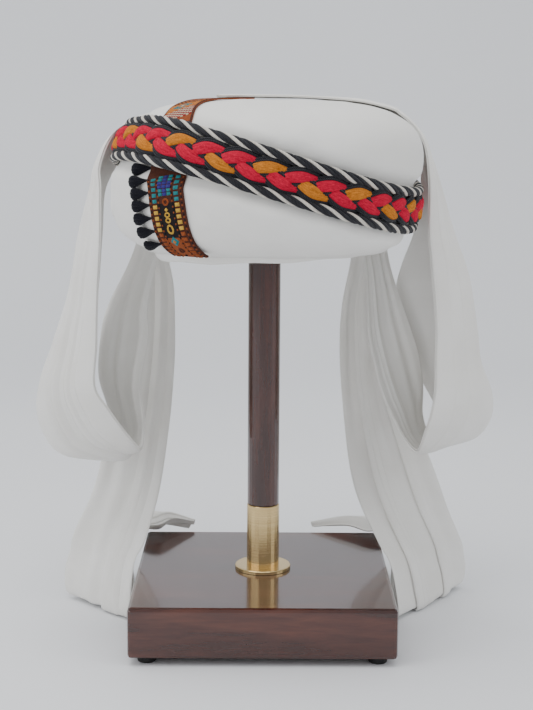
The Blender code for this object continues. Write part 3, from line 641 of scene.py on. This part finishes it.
class Embroidery:
    """Raised stitches laid on the ribbon: place is millimetres up it, aside is across it."""

    def __init__(self, names):
        self.names = list(names)
        self.line, self.across, self.halves, self.run = ribbon_stations(10)
        self.points, self.faces, self.index = [], [], []

    def spot(self, place, aside, lift):
        place = np.atleast_1d(place) * MM
        aside = np.atleast_1d(aside)
        line = np.stack([np.interp(place, self.run, self.line[:, k]) for k in range(3)], axis=-1)
        across = np.stack([np.interp(place, self.run, self.across[:, k]) for k in range(3)], axis=-1)
        half = np.interp(place, self.run, self.halves)
        return on_body(line + across * (aside * half / 17.0)[:, None], np.full(len(place), lift))

    def patch(self, outline, colour, low=0.0019, high=0.0026):
        """A stitched pad with the outline given as (place, aside) pairs."""
        outline = np.array(outline, dtype=float)
        middle = outline.mean(axis=0)
        inner = middle + (outline - middle) * 0.82
        start = len(self.points)
        size = len(outline)
        for ring, lift in ((outline, low), (inner, high)):
            self.points.extend(self.spot(ring[:, 0], ring[:, 1], lift).tolist())
        for k in range(size):
            after = (k + 1) % size
            self.faces.append((start + k, start + after, start + size + after, start + size + k))
        self.faces.append(tuple(start + size + k for k in range(size)))
        self.index.extend([self.names.index(colour)] * (size + 1))

    def block(self, place, aside, tall, wide, colour, high=0.0026):
        p, a, t, w = place, aside, tall / 2, wide / 2
        self.patch([(p - t, a - w), (p - t, a + w), (p + t, a + w), (p + t, a - w)], colour, 0.0019, high)

    def diamond(self, place, aside, tall, wide, colour, high=0.0027):
        self.patch([(place - tall / 2, aside), (place, aside + wide / 2), (place + tall / 2, aside),
                    (place, aside - wide / 2)], colour, 0.0019, high)

    def ring(self, place, aside, tall, wide, thread, colour):
        """An oval of thick thread."""
        start = len(self.points)
        count = 20
        for k in range(count):
            angle = 2 * math.pi * k / count
            for swell, lift in ((0, 0.0019), (0.5, 0.0029), (1, 0.0019)):
                p = place + (tall / 2 - thread * (1 - swell)) * math.cos(angle)
                a = aside + (wide / 2 - thread * (1 - swell)) * math.sin(angle)
                self.points.extend(self.spot(p, a, lift).tolist())
        for k in range(count):
            after = (k + 1) % count
            for j in range(2):
                self.faces.append((start + 3 * k + j, start + 3 * after + j,
                                   start + 3 * after + j + 1, start + 3 * k + j + 1))
        self.index.extend([self.names.index(colour)] * (2 * count))


def build_ribbon():
    names = list(THREADS)
    paints = [flat_paint(f"thread_{name}", THREADS[name]) for name in names]
    work = Embroidery(names)
    steps = len(work.line)
    shares = np.array((-1.0, -0.97, -0.88, -0.5, 0.0, 0.5, 0.88, 0.97, 1.0))
    lifts = np.array((0.0016, 0.0022, 0.0019, 0.0019, 0.0019, 0.0019, 0.0019, 0.0022, 0.0016))
    top, bottom = [], []
    for i in range(steps):
        places = work.line[i] + work.across[i] * (shares * work.halves[i])[:, None]
        top.append(on_body(places, lifts))
        bottom.append(on_body(places, np.full(len(shares), 0.0006)))
    grid = np.concatenate([np.array(top), np.array(bottom)[:, ::-1]], axis=1)
    columns = grid.shape[1]
    faces = grid_faces(steps, columns)
    index = []
    for i in range(steps - 1):
        place = work.run[i] / MM
        for k in range(columns):
            if k in (0, 1, 6, 7):
                index.append(names.index("brown"))
            elif place > 118:
                index.append(names.index("rust"))
            elif 24 < place < 52:
                index.append(names.index("ground_black" if k in (3, 4) else "brown"))
            elif place >= 52:
                index.append(names.index("brown"))
            else:
                index.append(names.index("rust" if k in (3, 4) else "brown"))
    for row in (0, (steps - 1) * columns):
        faces.append(tuple(row + k for k in range(columns)))
        index.append(names.index("brown"))
    points = grid.reshape(-1, 3).tolist()
    start = len(points)

    total = work.run[-1] / MM
    place = 2.0
    while place < total - 2:
        below = place < 76
        if below:
            colour = "rust" if place < 31 else "yellow" if place < 53 else "teal"
            for aside in (-10.6, 10.6):
                work.block(place, aside, 2.9, 4.0, colour)
            for aside in (-15.2, 15.2):
                work.block(place - 1, aside, 1.3, 1.4, "rust", 0.0025)
                work.block(place + 1, aside, 1.3, 1.4, "ground_black", 0.0024)
            for aside in (-6.6, 6.6):
                work.block(place - 1.1, aside, 1.4, 1.0, "rust", 0.0025)
                work.block(place + 1.1, aside, 1.4, 1.0, "ground_black", 0.0024)
        place += 4.4
    work.diamond(4.5, 0.5, 3.0, 2.6, "ground_black")
    work.ring(12.5, -0.5, 6.0, 5.0, 1.5, "brown")
    work.diamond(22.5, 0, 9.0, 8.0, "teal")
    work.diamond(22.5, 0, 4.0, 3.4, "orange", 0.0030)
    work.ring(32.5, 0, 7.8, 6.4, 1.6, "yellow")
    work.ring(39.5, 0, 4.4, 5.2, 1.3, "yellow")
    work.ring(43.6, 0, 4.4, 5.2, 1.3, "yellow")
    work.diamond(47.5, 0, 3.4, 3.0, "yellow")
    work.ring(53.5, 0, 6.0, 6.2, 1.6, "rust")
    for step in range(6):
        for aside in (-4.2, 0.0, 4.2):
            colour = "blue" if aside == 0 or step in (2, 3) else "teal"
            work.block(59.5 + 2.9 * step, aside, 2.5, 3.6, colour)

    edge = next(p for p in np.arange(80, 130, 0.5) if work.spot(p, 0, 0)[0][2] > 0.4385)
    for row in range(9):
        for column in range(-5, 6):
            light = (row + column) % 2 == 0
            work.block(edge + 1.7 * row, 2.7 * column, 1.5, 2.4, "cream" if light else "red", 0.0024)
    middle = edge + 24
    for row in range(18):
        place = edge + 16 + 1.9 * row
        if place > total - 2:
            break
        for column in range(-5, 6):
            reach = abs(place - middle) / 1.9 + abs(column)
            colour = "teal" if 2.2 < reach < 3.9 else "cream" if reach < 1 else "orange"
            if row > 9:
                colour = "brown" if (row + column) % 3 else "orange"
            work.block(place, 2.7 * column, 1.7, 2.5, colour, 0.0023)
    points.extend(work.points)
    faces.extend(tuple(start + i for i in face) for face in work.faces)
    index.extend(work.index)
    new_piece("ribbon_embroidery", points, faces, paints, ["embroidered_ribbon"], index=index)


# Tufts
TUFT_HEIGHTS = (404.5, 395.0, 385.5, 376.0, 366.0, 356.0, 346.0)


def build_tufts():
    line, across, halves, run = ribbon_stations(10)
    fuzz = Paint("tuft_wool", 0.92, 0.1)
    strands = fuzz.noise(fuzz.coords("UV", (0.25, 3.0, 1)), 1.0, 4.0, 0.7)
    fuzz.colour(fuzz.ramp(strands, [(0.35, (0.003, 0.003, 0.005)), (0.75, (0.018, 0.018, 0.026))]))
    fuzz.bump(strands, 0.8, 0.0010).sheen(0.1, 0.4)
    for number, height in enumerate(TUFT_HEIGHTS, 1):
        lower = line[: len(line) // 2]
        above = int(np.argmax(lower[:, 2] >= height * MM))
        part = (height * MM - lower[above - 1][2]) / (lower[above][2] - lower[above - 1][2])
        place = lower[above - 1] + (lower[above] - lower[above - 1]) * part
        aside = across[above]
        level = unit(np.array((aside[0], aside[1], 0.0)))
        if level[0] > 0:
            level = -level
        start = halves[above] / abs(level @ aside) - 0.0006
        toward = level - np.array((0, 0, 0.12))
        rows, columns = 22, 40
        grid, uv = [], []
        for i in range(rows):
            t = i / (rows - 1)
            swell = 0.20 + 0.86 * smooth_step(t / 0.72) if t < 0.72 else math.sqrt(
                max(0.0, 1.12 - 1.12 * ((t - 0.72) / 0.28) ** 2))
            radius = 0.0046 * max(float(swell), 0.02)
            out = place + toward * (start + 0.0205 * t)
            centre = on_body(out, 0.0009 + radius * 0.62)
            outward = unit(on_body(centre, 0.01) - on_body(centre))
            up = unit(np.cross(outward, toward))
            ring = []
            for k in range(columns):
                angle = 2 * math.pi * k / columns
                lobe = 1 + 0.05 * math.sin(9 * angle + number) + 0.03 * math.sin(17 * angle + 5 * t)
                ring.append(centre + (outward * math.cos(angle) * 0.62 + up * math.sin(angle)) * radius * lobe)
                uv.append((20 * t, 3 * angle))
            grid.append(ring)
        points = np.array(grid).reshape(-1, 3).tolist()
        faces = grid_faces(rows, columns)
        faces.append(tuple(range(columns)))
        faces.append(tuple((rows - 1) * columns + k for k in range(columns)))
        faces = outward_faces(points, faces)
        new_piece(f"tuft_lock_{number}", points, faces, [fuzz.material], [f"tuft_{number}"], uv)


# Cloth ends
Section = namedtuple("Section", "edge middle other thick pleat")
LEFT_LOOP = [
    Section((-58, 60, 448), (-60, 73, 446), (-60, 86, 440), 4.0, 0.5),
    Section((-89, 54, 443), (-88, 69, 440), (-84, 84, 432), 4.0, 0.6),
    Section((-118, 36, 434), (-115, 56, 431), (-104, 76, 419), 4.0, 0.8),
    Section((-132, 20, 421), (-134, 44, 418), (-122, 68, 407), 4.0, 1.0),
    Section((-140, 11, 398), (-147, 38, 396), (-135, 62, 388), 4.0, 1.4),
    Section((-139, 5, 380), (-152, 36, 378), (-141, 60, 370), 4.0, 1.6),
    Section((-139, -4, 337), (-162, 28, 336), (-143, 56, 334), 4.0, 2.0),
    Section((-142, -8, 287), (-172, 24, 285), (-148, 56, 283), 4.0, 2.0),
    Section((-143, -12, 249), (-184, 22, 246), (-155, 56, 245), 4.0, 2.0),
    Section((-145, -14, 214), (-195, 20, 212), (-165, 56, 210), 4.0, 2.0),
    Section((-134, -13, 194), (-197, 20, 180), (-172, 56, 180), 4.5, 2.0),
    Section((-123, -8, 176), (-182, 22, 150), (-170, 58, 160), 5.0, 2.0),
    Section((-113, -2, 162), (-155, 26, 140), (-158, 60, 150), 5.0, 1.6),
    Section((-107, 9, 155), (-131, 31, 140), (-146, 62, 154), 5.0, 1.4),
    Section((-106, 22, 172), (-121, 40, 160), (-142, 62, 174), 5.0, 1.4),
    Section((-110, 34, 206), (-130, 50, 206), (-150, 60, 208), 4.5, 2.0),
    Section((-103, 42, 248), (-126, 55, 248), (-147, 62, 248), 4.5, 2.2),
    Section((-104, 46, 273), (-122, 57, 273), (-141, 66, 273), 4.5, 2.0),
    Section((-98, 50, 304), (-111, 59, 304), (-125, 66, 304), 4.5, 1.4),
    Section((-91, 54, 328), (-102, 61, 329), (-114, 68, 330), 4.5, 0.8),
]
RIGHT_LOOP = [
    Section((-42, 31, 458), (-42, 42, 459), (-42, 53, 457), 4.0, 0.6),
    Section((9, 28, 458), (9, 39, 459), (9, 50, 457), 4.0, 0.8),
    Section((45, 28, 457), (45, 38, 458), (45, 50, 456), 4.0, 0.8),
    Section((81, 26, 454), (80, 37, 456), (78, 50, 451), 4.0, 0.8),
    Section((107, 20, 448), (104, 34, 450), (99, 52, 443), 4.0, 1.0),
    Section((114.5, 18, 443.5), (112.5, 33, 445), (106.5, 53, 437.5), 4.0, 1.0),
    Section((121, 16, 438), (120, 32, 438.5), (113, 54, 430), 4.0, 1.0),
    Section((131, 12, 426), (132, 30, 426), (124, 54, 420), 4.0, 1.2),
    Section((136, 8, 413), (140, 30, 412), (134, 54, 409), 4.0, 1.4),
    Section((138, 2, 390), (149, 28, 389), (138, 58, 386), 4.0, 1.6),
    Section((138, -4, 348), (162, 26, 346), (134, 62, 343), 4.0, 2.0),
    Section((141, -9, 318), (172, 26, 316), (124, 64, 312), 4.0, 2.0),
    Section((144, -12, 291), (178, 24, 289), (119, 66, 286), 4.0, 2.0),
    Section((146, -14, 259), (183, 22, 257), (122, 67, 254), 4.0, 2.0),
    Section((146, -16, 234), (187, 20, 232), (130, 68, 230), 4.0, 2.0),
    Section((146, -16, 209), (197, 18, 206), (144, 66, 206), 4.0, 2.0),
    Section((143, -16, 190), (199, 18, 183), (156, 64, 184), 4.5, 1.6),
    Section((139, -12, 175), (189, 20, 165), (162, 62, 169), 4.5, 1.4),
    Section((136, -6, 162), (167, 22, 157), (157, 60, 160), 4.5, 1.2),
    Section((133, 3, 155), (148, 26, 152), (147, 58, 162), 4.5, 1.2),
    Section((124, 13, 164), (136, 34, 164), (143, 54, 178), 4.5, 1.4),
    Section((113, 20, 183), (130, 39, 186), (143, 52, 196), 4.5, 1.6),
    Section((105, 25, 200), (124, 41, 204), (142, 50, 211), 4.5, 2.0),
    Section((98, 30, 226), (117, 43, 228), (138, 48, 232), 4.5, 2.0),
    Section((92, 34, 257), (109, 45, 258), (129, 48, 259), 4.5, 2.0),
    Section((90, 42, 300), (102, 50, 301), (114, 54, 302), 4.5, 1.4),
    Section((87, 48, 327), (97, 56, 328), (108, 61, 329), 4.5, 0.8),
]
LEFT_TAIL = [
    Section((-102, 74, 371), (-90, 87, 371), (-77, 98, 371), 4.0, 0.4),
    Section((-104, 76, 347), (-93, 87, 347), (-79, 98, 347), 4.0, 0.8),
    Section((-118, 87, 322), (-104, 97, 321), (-89, 105, 320), 4.5, 1.4),
    Section((-123, 93, 283), (-103, 98, 283), (-83, 98, 283), 4.5, 2.2),
    Section((-131, 90, 225), (-106, 91, 225), (-82, 88, 225), 4.5, 2.4),
    Section((-142, 82, 165), (-113, 79, 165), (-86, 74, 166), 4.5, 2.4),
    Section((-155, 73, 104), (-124, 63, 105), (-94, 51, 106), 4.5, 2.4),
    Section((-173, 67, 62), (-140, 44, 63), (-105, 21, 67), 4.5, 2.0),
    Section((-177, 65, 45), (-144, 38, 46), (-113, 12, 52), 4.5, 2.0),
    Section((-182, 61, 24), (-149, 30, 24), (-116, 2, 27), 4.5, 2.0),
    Section((-179, 58, 4.5), (-148, 27, 4), (-117, -3, 5), 4.5, 0.8),
    Section((-160, 72, 4), (-136, 50, 4), (-115, 24, 4), 4.5, 0.6),
    Section((-152, 98, 12), (-134, 86, 15), (-119, 66, 16), 8.0, 0.8),
    Section((-146, 118, 34), (-133, 104, 42), (-122, 80, 46), 9.0, 0.8),
    Section((-136, 125, 48), (-122, 105, 56), (-112, 82, 60), 10.0, 0.8),
    Section((-118, 130, 54), (-104, 112, 61), (-97, 80, 61), 13.0, 0.8),
    Section((-98, 133, 53), (-91, 120, 61), (-85, 104, 61), 13.0, 0.8),
    Section((-72, 134, 46), (-66, 127, 53), (-66, 119, 55), 10.0, 0.6),
]
RIGHT_TAIL = [
    Section((77, 98, 349), (91, 87, 349), (103, 74, 349), 4.0, 0.4),
    Section((79, 99, 337), (93, 88, 337), (105, 76, 337), 4.0, 0.8),
    Section((80, 106, 312), (98, 98, 312), (113, 88, 312), 4.5, 1.4),
    Section((72, 101, 270), (93, 101, 270), (115, 92, 270), 4.5, 2.2),
    Section((70, 96, 228), (95, 96, 228), (121, 88, 229), 4.5, 2.4),
    Section((73, 89, 182), (101, 88, 183), (132, 82, 184), 4.5, 2.4),
    Section((80, 74, 122), (116, 76, 121), (158, 80, 119), 4.5, 2.4),
    Section((90, 54, 89), (128, 65, 85), (172, 86, 80), 4.5, 2.4),
    Section((104, 26, 64), (142, 56, 55), (187, 93, 46), 4.5, 2.0),
    Section((113, 14, 50), (147, 50, 41), (190, 96, 32), 4.5, 2.0),
    Section((118, 4, 28), (152, 46, 22), (192, 98, 17), 4.5, 2.0),
    Section((121, 1, 5), (154, 44, 4), (188, 94, 4.5), 4.5, 0.8),
    Section((117, 26, 4), (144, 64, 4), (170, 104, 4), 4.5, 0.6),
    Section((120, 66, 16), (136, 88, 15), (152, 110, 12), 8.0, 0.8),
    Section((122, 84, 46), (134, 106, 42), (146, 122, 34), 9.0, 0.8),
    Section((112, 84, 60), (122, 106, 56), (135, 126, 48), 10.0, 0.8),
    Section((97, 85, 60), (103, 112, 60), (115, 131, 52), 12.0, 0.8),
    Section((79, 105, 60), (80, 122, 58), (84, 134, 49), 12.0, 0.8),
    Section((47, 120, 52), (47, 128, 53), (50, 135, 46), 9.0, 0.6),
]

Fold = namedtuple("Fold", "at lap")


def pleat_path(folds, half, layer):
    """Path of the cloth across a strip, in millimetres: each fold doubles back over itself."""
    path = [(-half, 0.0)]
    for fold in folds:
        at = fold.at * half
        start, back = at + fold.lap / 2, at - fold.lap / 2
        path.append((start - 0.4, 0.0))
        for angle in (-60, 0, 60):
            turn = math.radians(angle)
            path.append((start + layer / 2 * math.cos(turn), layer / 2 + layer / 2 * math.sin(turn)))
        path.append((start - 0.4, layer))
        path.append((back + 0.4, layer))
        for angle in (-60, 0, 60):
            turn = math.radians(angle)
            path.append((back - layer / 2 * math.cos(turn), 1.5 * layer + layer / 2 * math.sin(turn)))
        path.append((back + 0.4, 2 * layer))
        path.append((start + 1.2, 1.8 * layer))
        path.append((start + 4.0, 0.8 * layer))
    path.append((half, 0.0))
    fine = [path[0]]
    for a, b in zip(path, path[1:]):
        gap = math.dist(a, b)
        pieces = max(1, round(gap / 2.2))
        for k in range(1, pieces + 1):
            fine.append((a[0] + (b[0] - a[0]) * k / pieces, a[1] + (b[1] - a[1]) * k / pieces))
    return np.array(fine)


def build_strip(name, rows, folds, half, node, wave, turn=1, thread=1.0, layer=1.35):
    """A long folded strip swept through its sections."""
    steps = 7
    edge = refine([row.edge for row in rows], steps) * MM
    middle = refine([row.middle for row in rows], steps) * MM
    other = refine([row.other for row in rows], steps) * MM
    thick = refine([[row.thick] for row in rows], steps)[:, 0]
    pleat = refine([[row.pleat] for row in rows], steps)[:, 0]
    path = pleat_path(folds, half, layer)
    tangent = np.gradient(path, axis=0)
    tangent /= np.linalg.norm(tangent, axis=1, keepdims=True)
    side = np.stack([-tangent[:, 1], tangent[:, 0]], axis=-1) * thread / 2
    ends = np.array([[half + 0.35, 0.0]]), np.array([[-half - 0.35, 0.0]])
    loop = np.concatenate([path + side, ends[0], (path - side)[::-1], ends[1]])
    count = len(loop)
    u = np.clip(loop[:, 0] / half, -1.03, 1.03)
    lift = loop[:, 1]
    run = np.concatenate([[0], np.cumsum(np.linalg.norm(np.diff(middle, axis=0), axis=-1))])

    def surface(v):
        return (edge[:, None] * (v * (v - 1) / 2)[None, :, None] + middle[:, None] * (1 - v * v)[None, :, None]
                + other[:, None] * (v * (v + 1) / 2)[None, :, None])

    place = surface(u)
    along = unit(np.gradient(place, axis=0))
    width = unit(surface(u + 0.04) - surface(u - 0.04))
    normal = unit(np.cross(along, width)) * turn
    wide = np.linalg.norm(other - edge, axis=-1)
    bunch = np.clip((thick - 5.0) / 8.0, 0, 1)
    zigzag = np.abs(((u * 2.5 + 0.3) % 2) - 1) * 2 - 1
    rest = (pleat[:, None] * (0.55 * np.cos(math.pi * 3 * u + wave)[None, :]
                              + 0.35 * np.sin(math.pi * 5 * u + 2 * wave)[None, :]
                              * np.sin(run * 14 + wave)[:, None]))
    rest += (bunch * thick * 0.36)[:, None] * zigzag[None, :]
    soft = noise_at(place, 28.0, wave) * 1.1
    taper = np.clip(wide / (2 * half * MM), 0.35, 1.0)
    offset = (lift[None, :] - layer * 0.6) * taper[:, None] + rest + soft * pleat[:, None] / 2.4
    place = place + normal * (offset * MM)[..., None]
    high = place[..., 2] > CENTRE[2] - 1.1 * HEIGHT
    pushed = push_off_turban(place, 0.0022 + (lift[None, :] + 0.6) * MM * 0.8)
    place = np.where(high[..., None], pushed, place)
    place[..., 2] = np.maximum(place[..., 2], 0.0006 + 0.0002 * (lift[None, :] > 0))
    points = place.reshape(-1, 3).tolist()
    faces = grid_faces(len(place), count)
    last = (len(place) - 1) * count
    half_count = len(path)
    for row in (0, last):
        for k in range(half_count - 1):
            back = count - 2 - k
            faces.append((row + k, row + k + 1, row + back - 1, row + back))
        faces.append((row + count - 1, row, row + count - 2))
        faces.append((row + half_count - 1, row + half_count, row + half_count + 1))
    faces = outward_faces(points, faces)
    stretch = np.concatenate([[0], np.cumsum(np.linalg.norm(np.diff(loop, axis=0), axis=1))])
    uv = np.stack(np.broadcast_arrays(run[:, None] / MM, stretch[None]), axis=-1).reshape(-1, 2)
    piece = new_piece(name, points, faces, [cotton_strip], [node], uv)
    return piece


def build_strips():
    loop_folds = [Fold(-0.90, 5.0), Fold(-0.74, 5.0), Fold(-0.55, 5.0)]
    build_strip("left_cloth_loop", LEFT_LOOP, loop_folds, 32, "left_loop", 0.4, 1)
    build_strip("right_cloth_loop", RIGHT_LOOP, loop_folds, 34, "right_loop", 1.7, 1)
    left_folds = [Fold(0.25, 5.0), Fold(0.42, 4.5), Fold(0.60, 4.5), Fold(0.78, 4.0)]
    right_folds = [Fold(-0.38, 4.0), Fold(-0.22, 4.5), Fold(-0.06, 4.5), Fold(0.45, 5.0)]
    build_strip("left_cloth_tail", LEFT_TAIL, left_folds, 36, "left_tail", 2.3, 1)
    build_strip("right_cloth_tail", RIGHT_TAIL, right_folds, 38, "right_tail", 3.1, 1)


# Stand
def repaint(node, material):
    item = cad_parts[node]
    item.data.materials.clear()
    item.data.materials.append(material)


def wood_paint(name, turn, stretch):
    """Glossy mahogany with dark pores along the grain."""
    paint = Paint(name, 0.16, 0.5)
    grain = paint.coords("Object", stretch, turn)
    broad = paint.noise(grain, 9.0, 5.0, 0.6, 1.2)
    fine = paint.noise(grain, 60.0, 6.0, 0.7, 0.5)
    mixed = paint.maths("ADD", paint.maths("MULTIPLY", broad, 0.6), paint.maths("MULTIPLY", fine, 0.4))
    paint.colour(paint.ramp(mixed, [(0.33, (0.016, 0.0042, 0.0030)), (0.50, (0.052, 0.0130, 0.0082)),
                                    (0.68, (0.105, 0.0290, 0.0165))]))
    paint.bump(fine, 0.05, 0.0004)
    paint.shader.inputs["Coat Weight"].default_value = 0.5
    paint.shader.inputs["Coat Roughness"].default_value = 0.08
    return paint.material


def build_stand():
    base_wood = wood_paint("mahogany_base", (0, 0, 0), (0.35, 3.0, 3.0))
    post_wood = wood_paint("mahogany_post", (0, 0, 0), (3.0, 3.0, 0.35))
    repaint("stand_base", base_wood)
    repaint("post", post_wood)
    repaint("crown_block", post_wood)
    brass = Paint("brushed_brass_turned", 0.26, 0.5, 1.0)
    rings = brass.noise(brass.coords("Object", (6, 6, 900)), 1.0, 3.0, 0.6)
    brass.colour(brass.ramp(rings, [(0.3, (0.52, 0.36, 0.15)), (0.7, (0.80, 0.62, 0.33))]))
    brass.bump(rings, 0.08, 0.0002)
    repaint("brass_flange", brass.material)
    rubber = Paint("rubber_feet", 0.6, 0.3)
    grains = rubber.noise(rubber.coords("Object"), 400.0, 3.0)
    rubber.colour(rubber.ramp(grains, [(0.3, (0.010, 0.010, 0.010)), (0.7, (0.022, 0.022, 0.022))]))
    rubber.bump(grains, 0.2, 0.0003)
    for number in range(1, 5):
        repaint(f"foot_{number}", rubber.material)


# Studio
def build_studio():
    rows = [(-3.0, 0.0), (0.6, 0.0), (1.2, 0.0)]
    for step in range(1, 13):
        angle = math.radians(7.5 * step)
        rows.append((1.2 + 0.9 * math.sin(angle), 0.9 - 0.9 * math.cos(angle)))
    rows.append((2.1, 3.5))
    points, faces = [], []
    for y, z in rows:
        points.extend([(-4, y, z), (4, y, z)])
    for k in range(len(rows) - 1):
        faces.append((2 * k, 2 * k + 1, 2 * k + 3, 2 * k + 2))
    mesh = bpy.data.meshes.new("studio_floor")
    mesh.from_pydata(points, [], faces)
    mesh.shade_smooth()
    floor = bpy.data.objects.new("studio_floor", mesh)
    bpy.context.collection.objects.link(floor)
    paint = Paint("studio_floor", 0.7, 0.2)
    paint.colour(paint.ramp(paint.noise(paint.coords("Object"), 1.5, 2.0),
                            [(0.3, (0.84, 0.85, 0.87)), (0.7, (0.87, 0.88, 0.90))]))
    mesh.materials.append(paint.material)

    world = bpy.data.worlds.new("studio")
    world.use_nodes = True
    world.node_tree.nodes["Background"].inputs["Color"].default_value = (0.95, 0.97, 1.0, 1.0)
    world.node_tree.nodes["Background"].inputs["Strength"].default_value = 0.75
    bpy.context.scene.world = world

    def lamp(name, place, target, size, power, colour=(1, 1, 1)):
        light = bpy.data.lights.new(name, "AREA")
        light.shape = "RECTANGLE"
        light.size, light.size_y = size
        light.energy = power
        light.color = colour
        thing = bpy.data.objects.new(name, light)
        bpy.context.collection.objects.link(thing)
        thing.location = place
        aim = Vector(target) - Vector(place)
        thing.rotation_euler = aim.to_track_quat("-Z", "Y").to_euler()

    lamp("top_box", (-0.3, -0.2, 1.9), (0, 0, 0.3), (1.8, 1.4), 22)
    lamp("left_box", (-1.7, -1.0, 1.0), (0, 0, 0.3), (1.0, 1.4), 12)
    lamp("right_box", (1.9, -0.8, 0.9), (0, 0, 0.3), (0.8, 1.2), 6)


def build_camera():
    yaw, pitch, roll = 0.0037, 0.1696, 0.0064
    forward = Vector((math.sin(yaw) * math.cos(pitch), math.cos(yaw) * math.cos(pitch), -math.sin(pitch)))
    right = Vector((math.cos(yaw), -math.sin(yaw), 0))
    up = right.cross(forward)
    across = right * math.cos(roll) + up * math.sin(roll)
    above = up * math.cos(roll) - right * math.sin(roll)
    data = bpy.data.cameras.new("photo_camera")
    data.sensor_fit = "AUTO"
    data.sensor_width = 36
    data.lens = 1475.4 / 710 * 36
    data.clip_start = 0.05
    data.clip_end = 20
    camera = bpy.data.objects.new("photo_camera", data)
    bpy.context.collection.objects.link(camera)
    axes = Matrix((across, above, -forward)).transposed().to_4x4()
    camera.matrix_world = Matrix.Translation((-0.0025, -1.2494, 0.4530)) @ axes
    bpy.context.scene.camera = camera


build_camera()
build_studio()
build_stand()
build_body()
build_plait()
build_rope("rope_upper_strands", 1, "rope_upper")
build_rope("rope_lower_strands", -1, "rope_lower")
build_ribbon()
build_tufts()
build_strips()
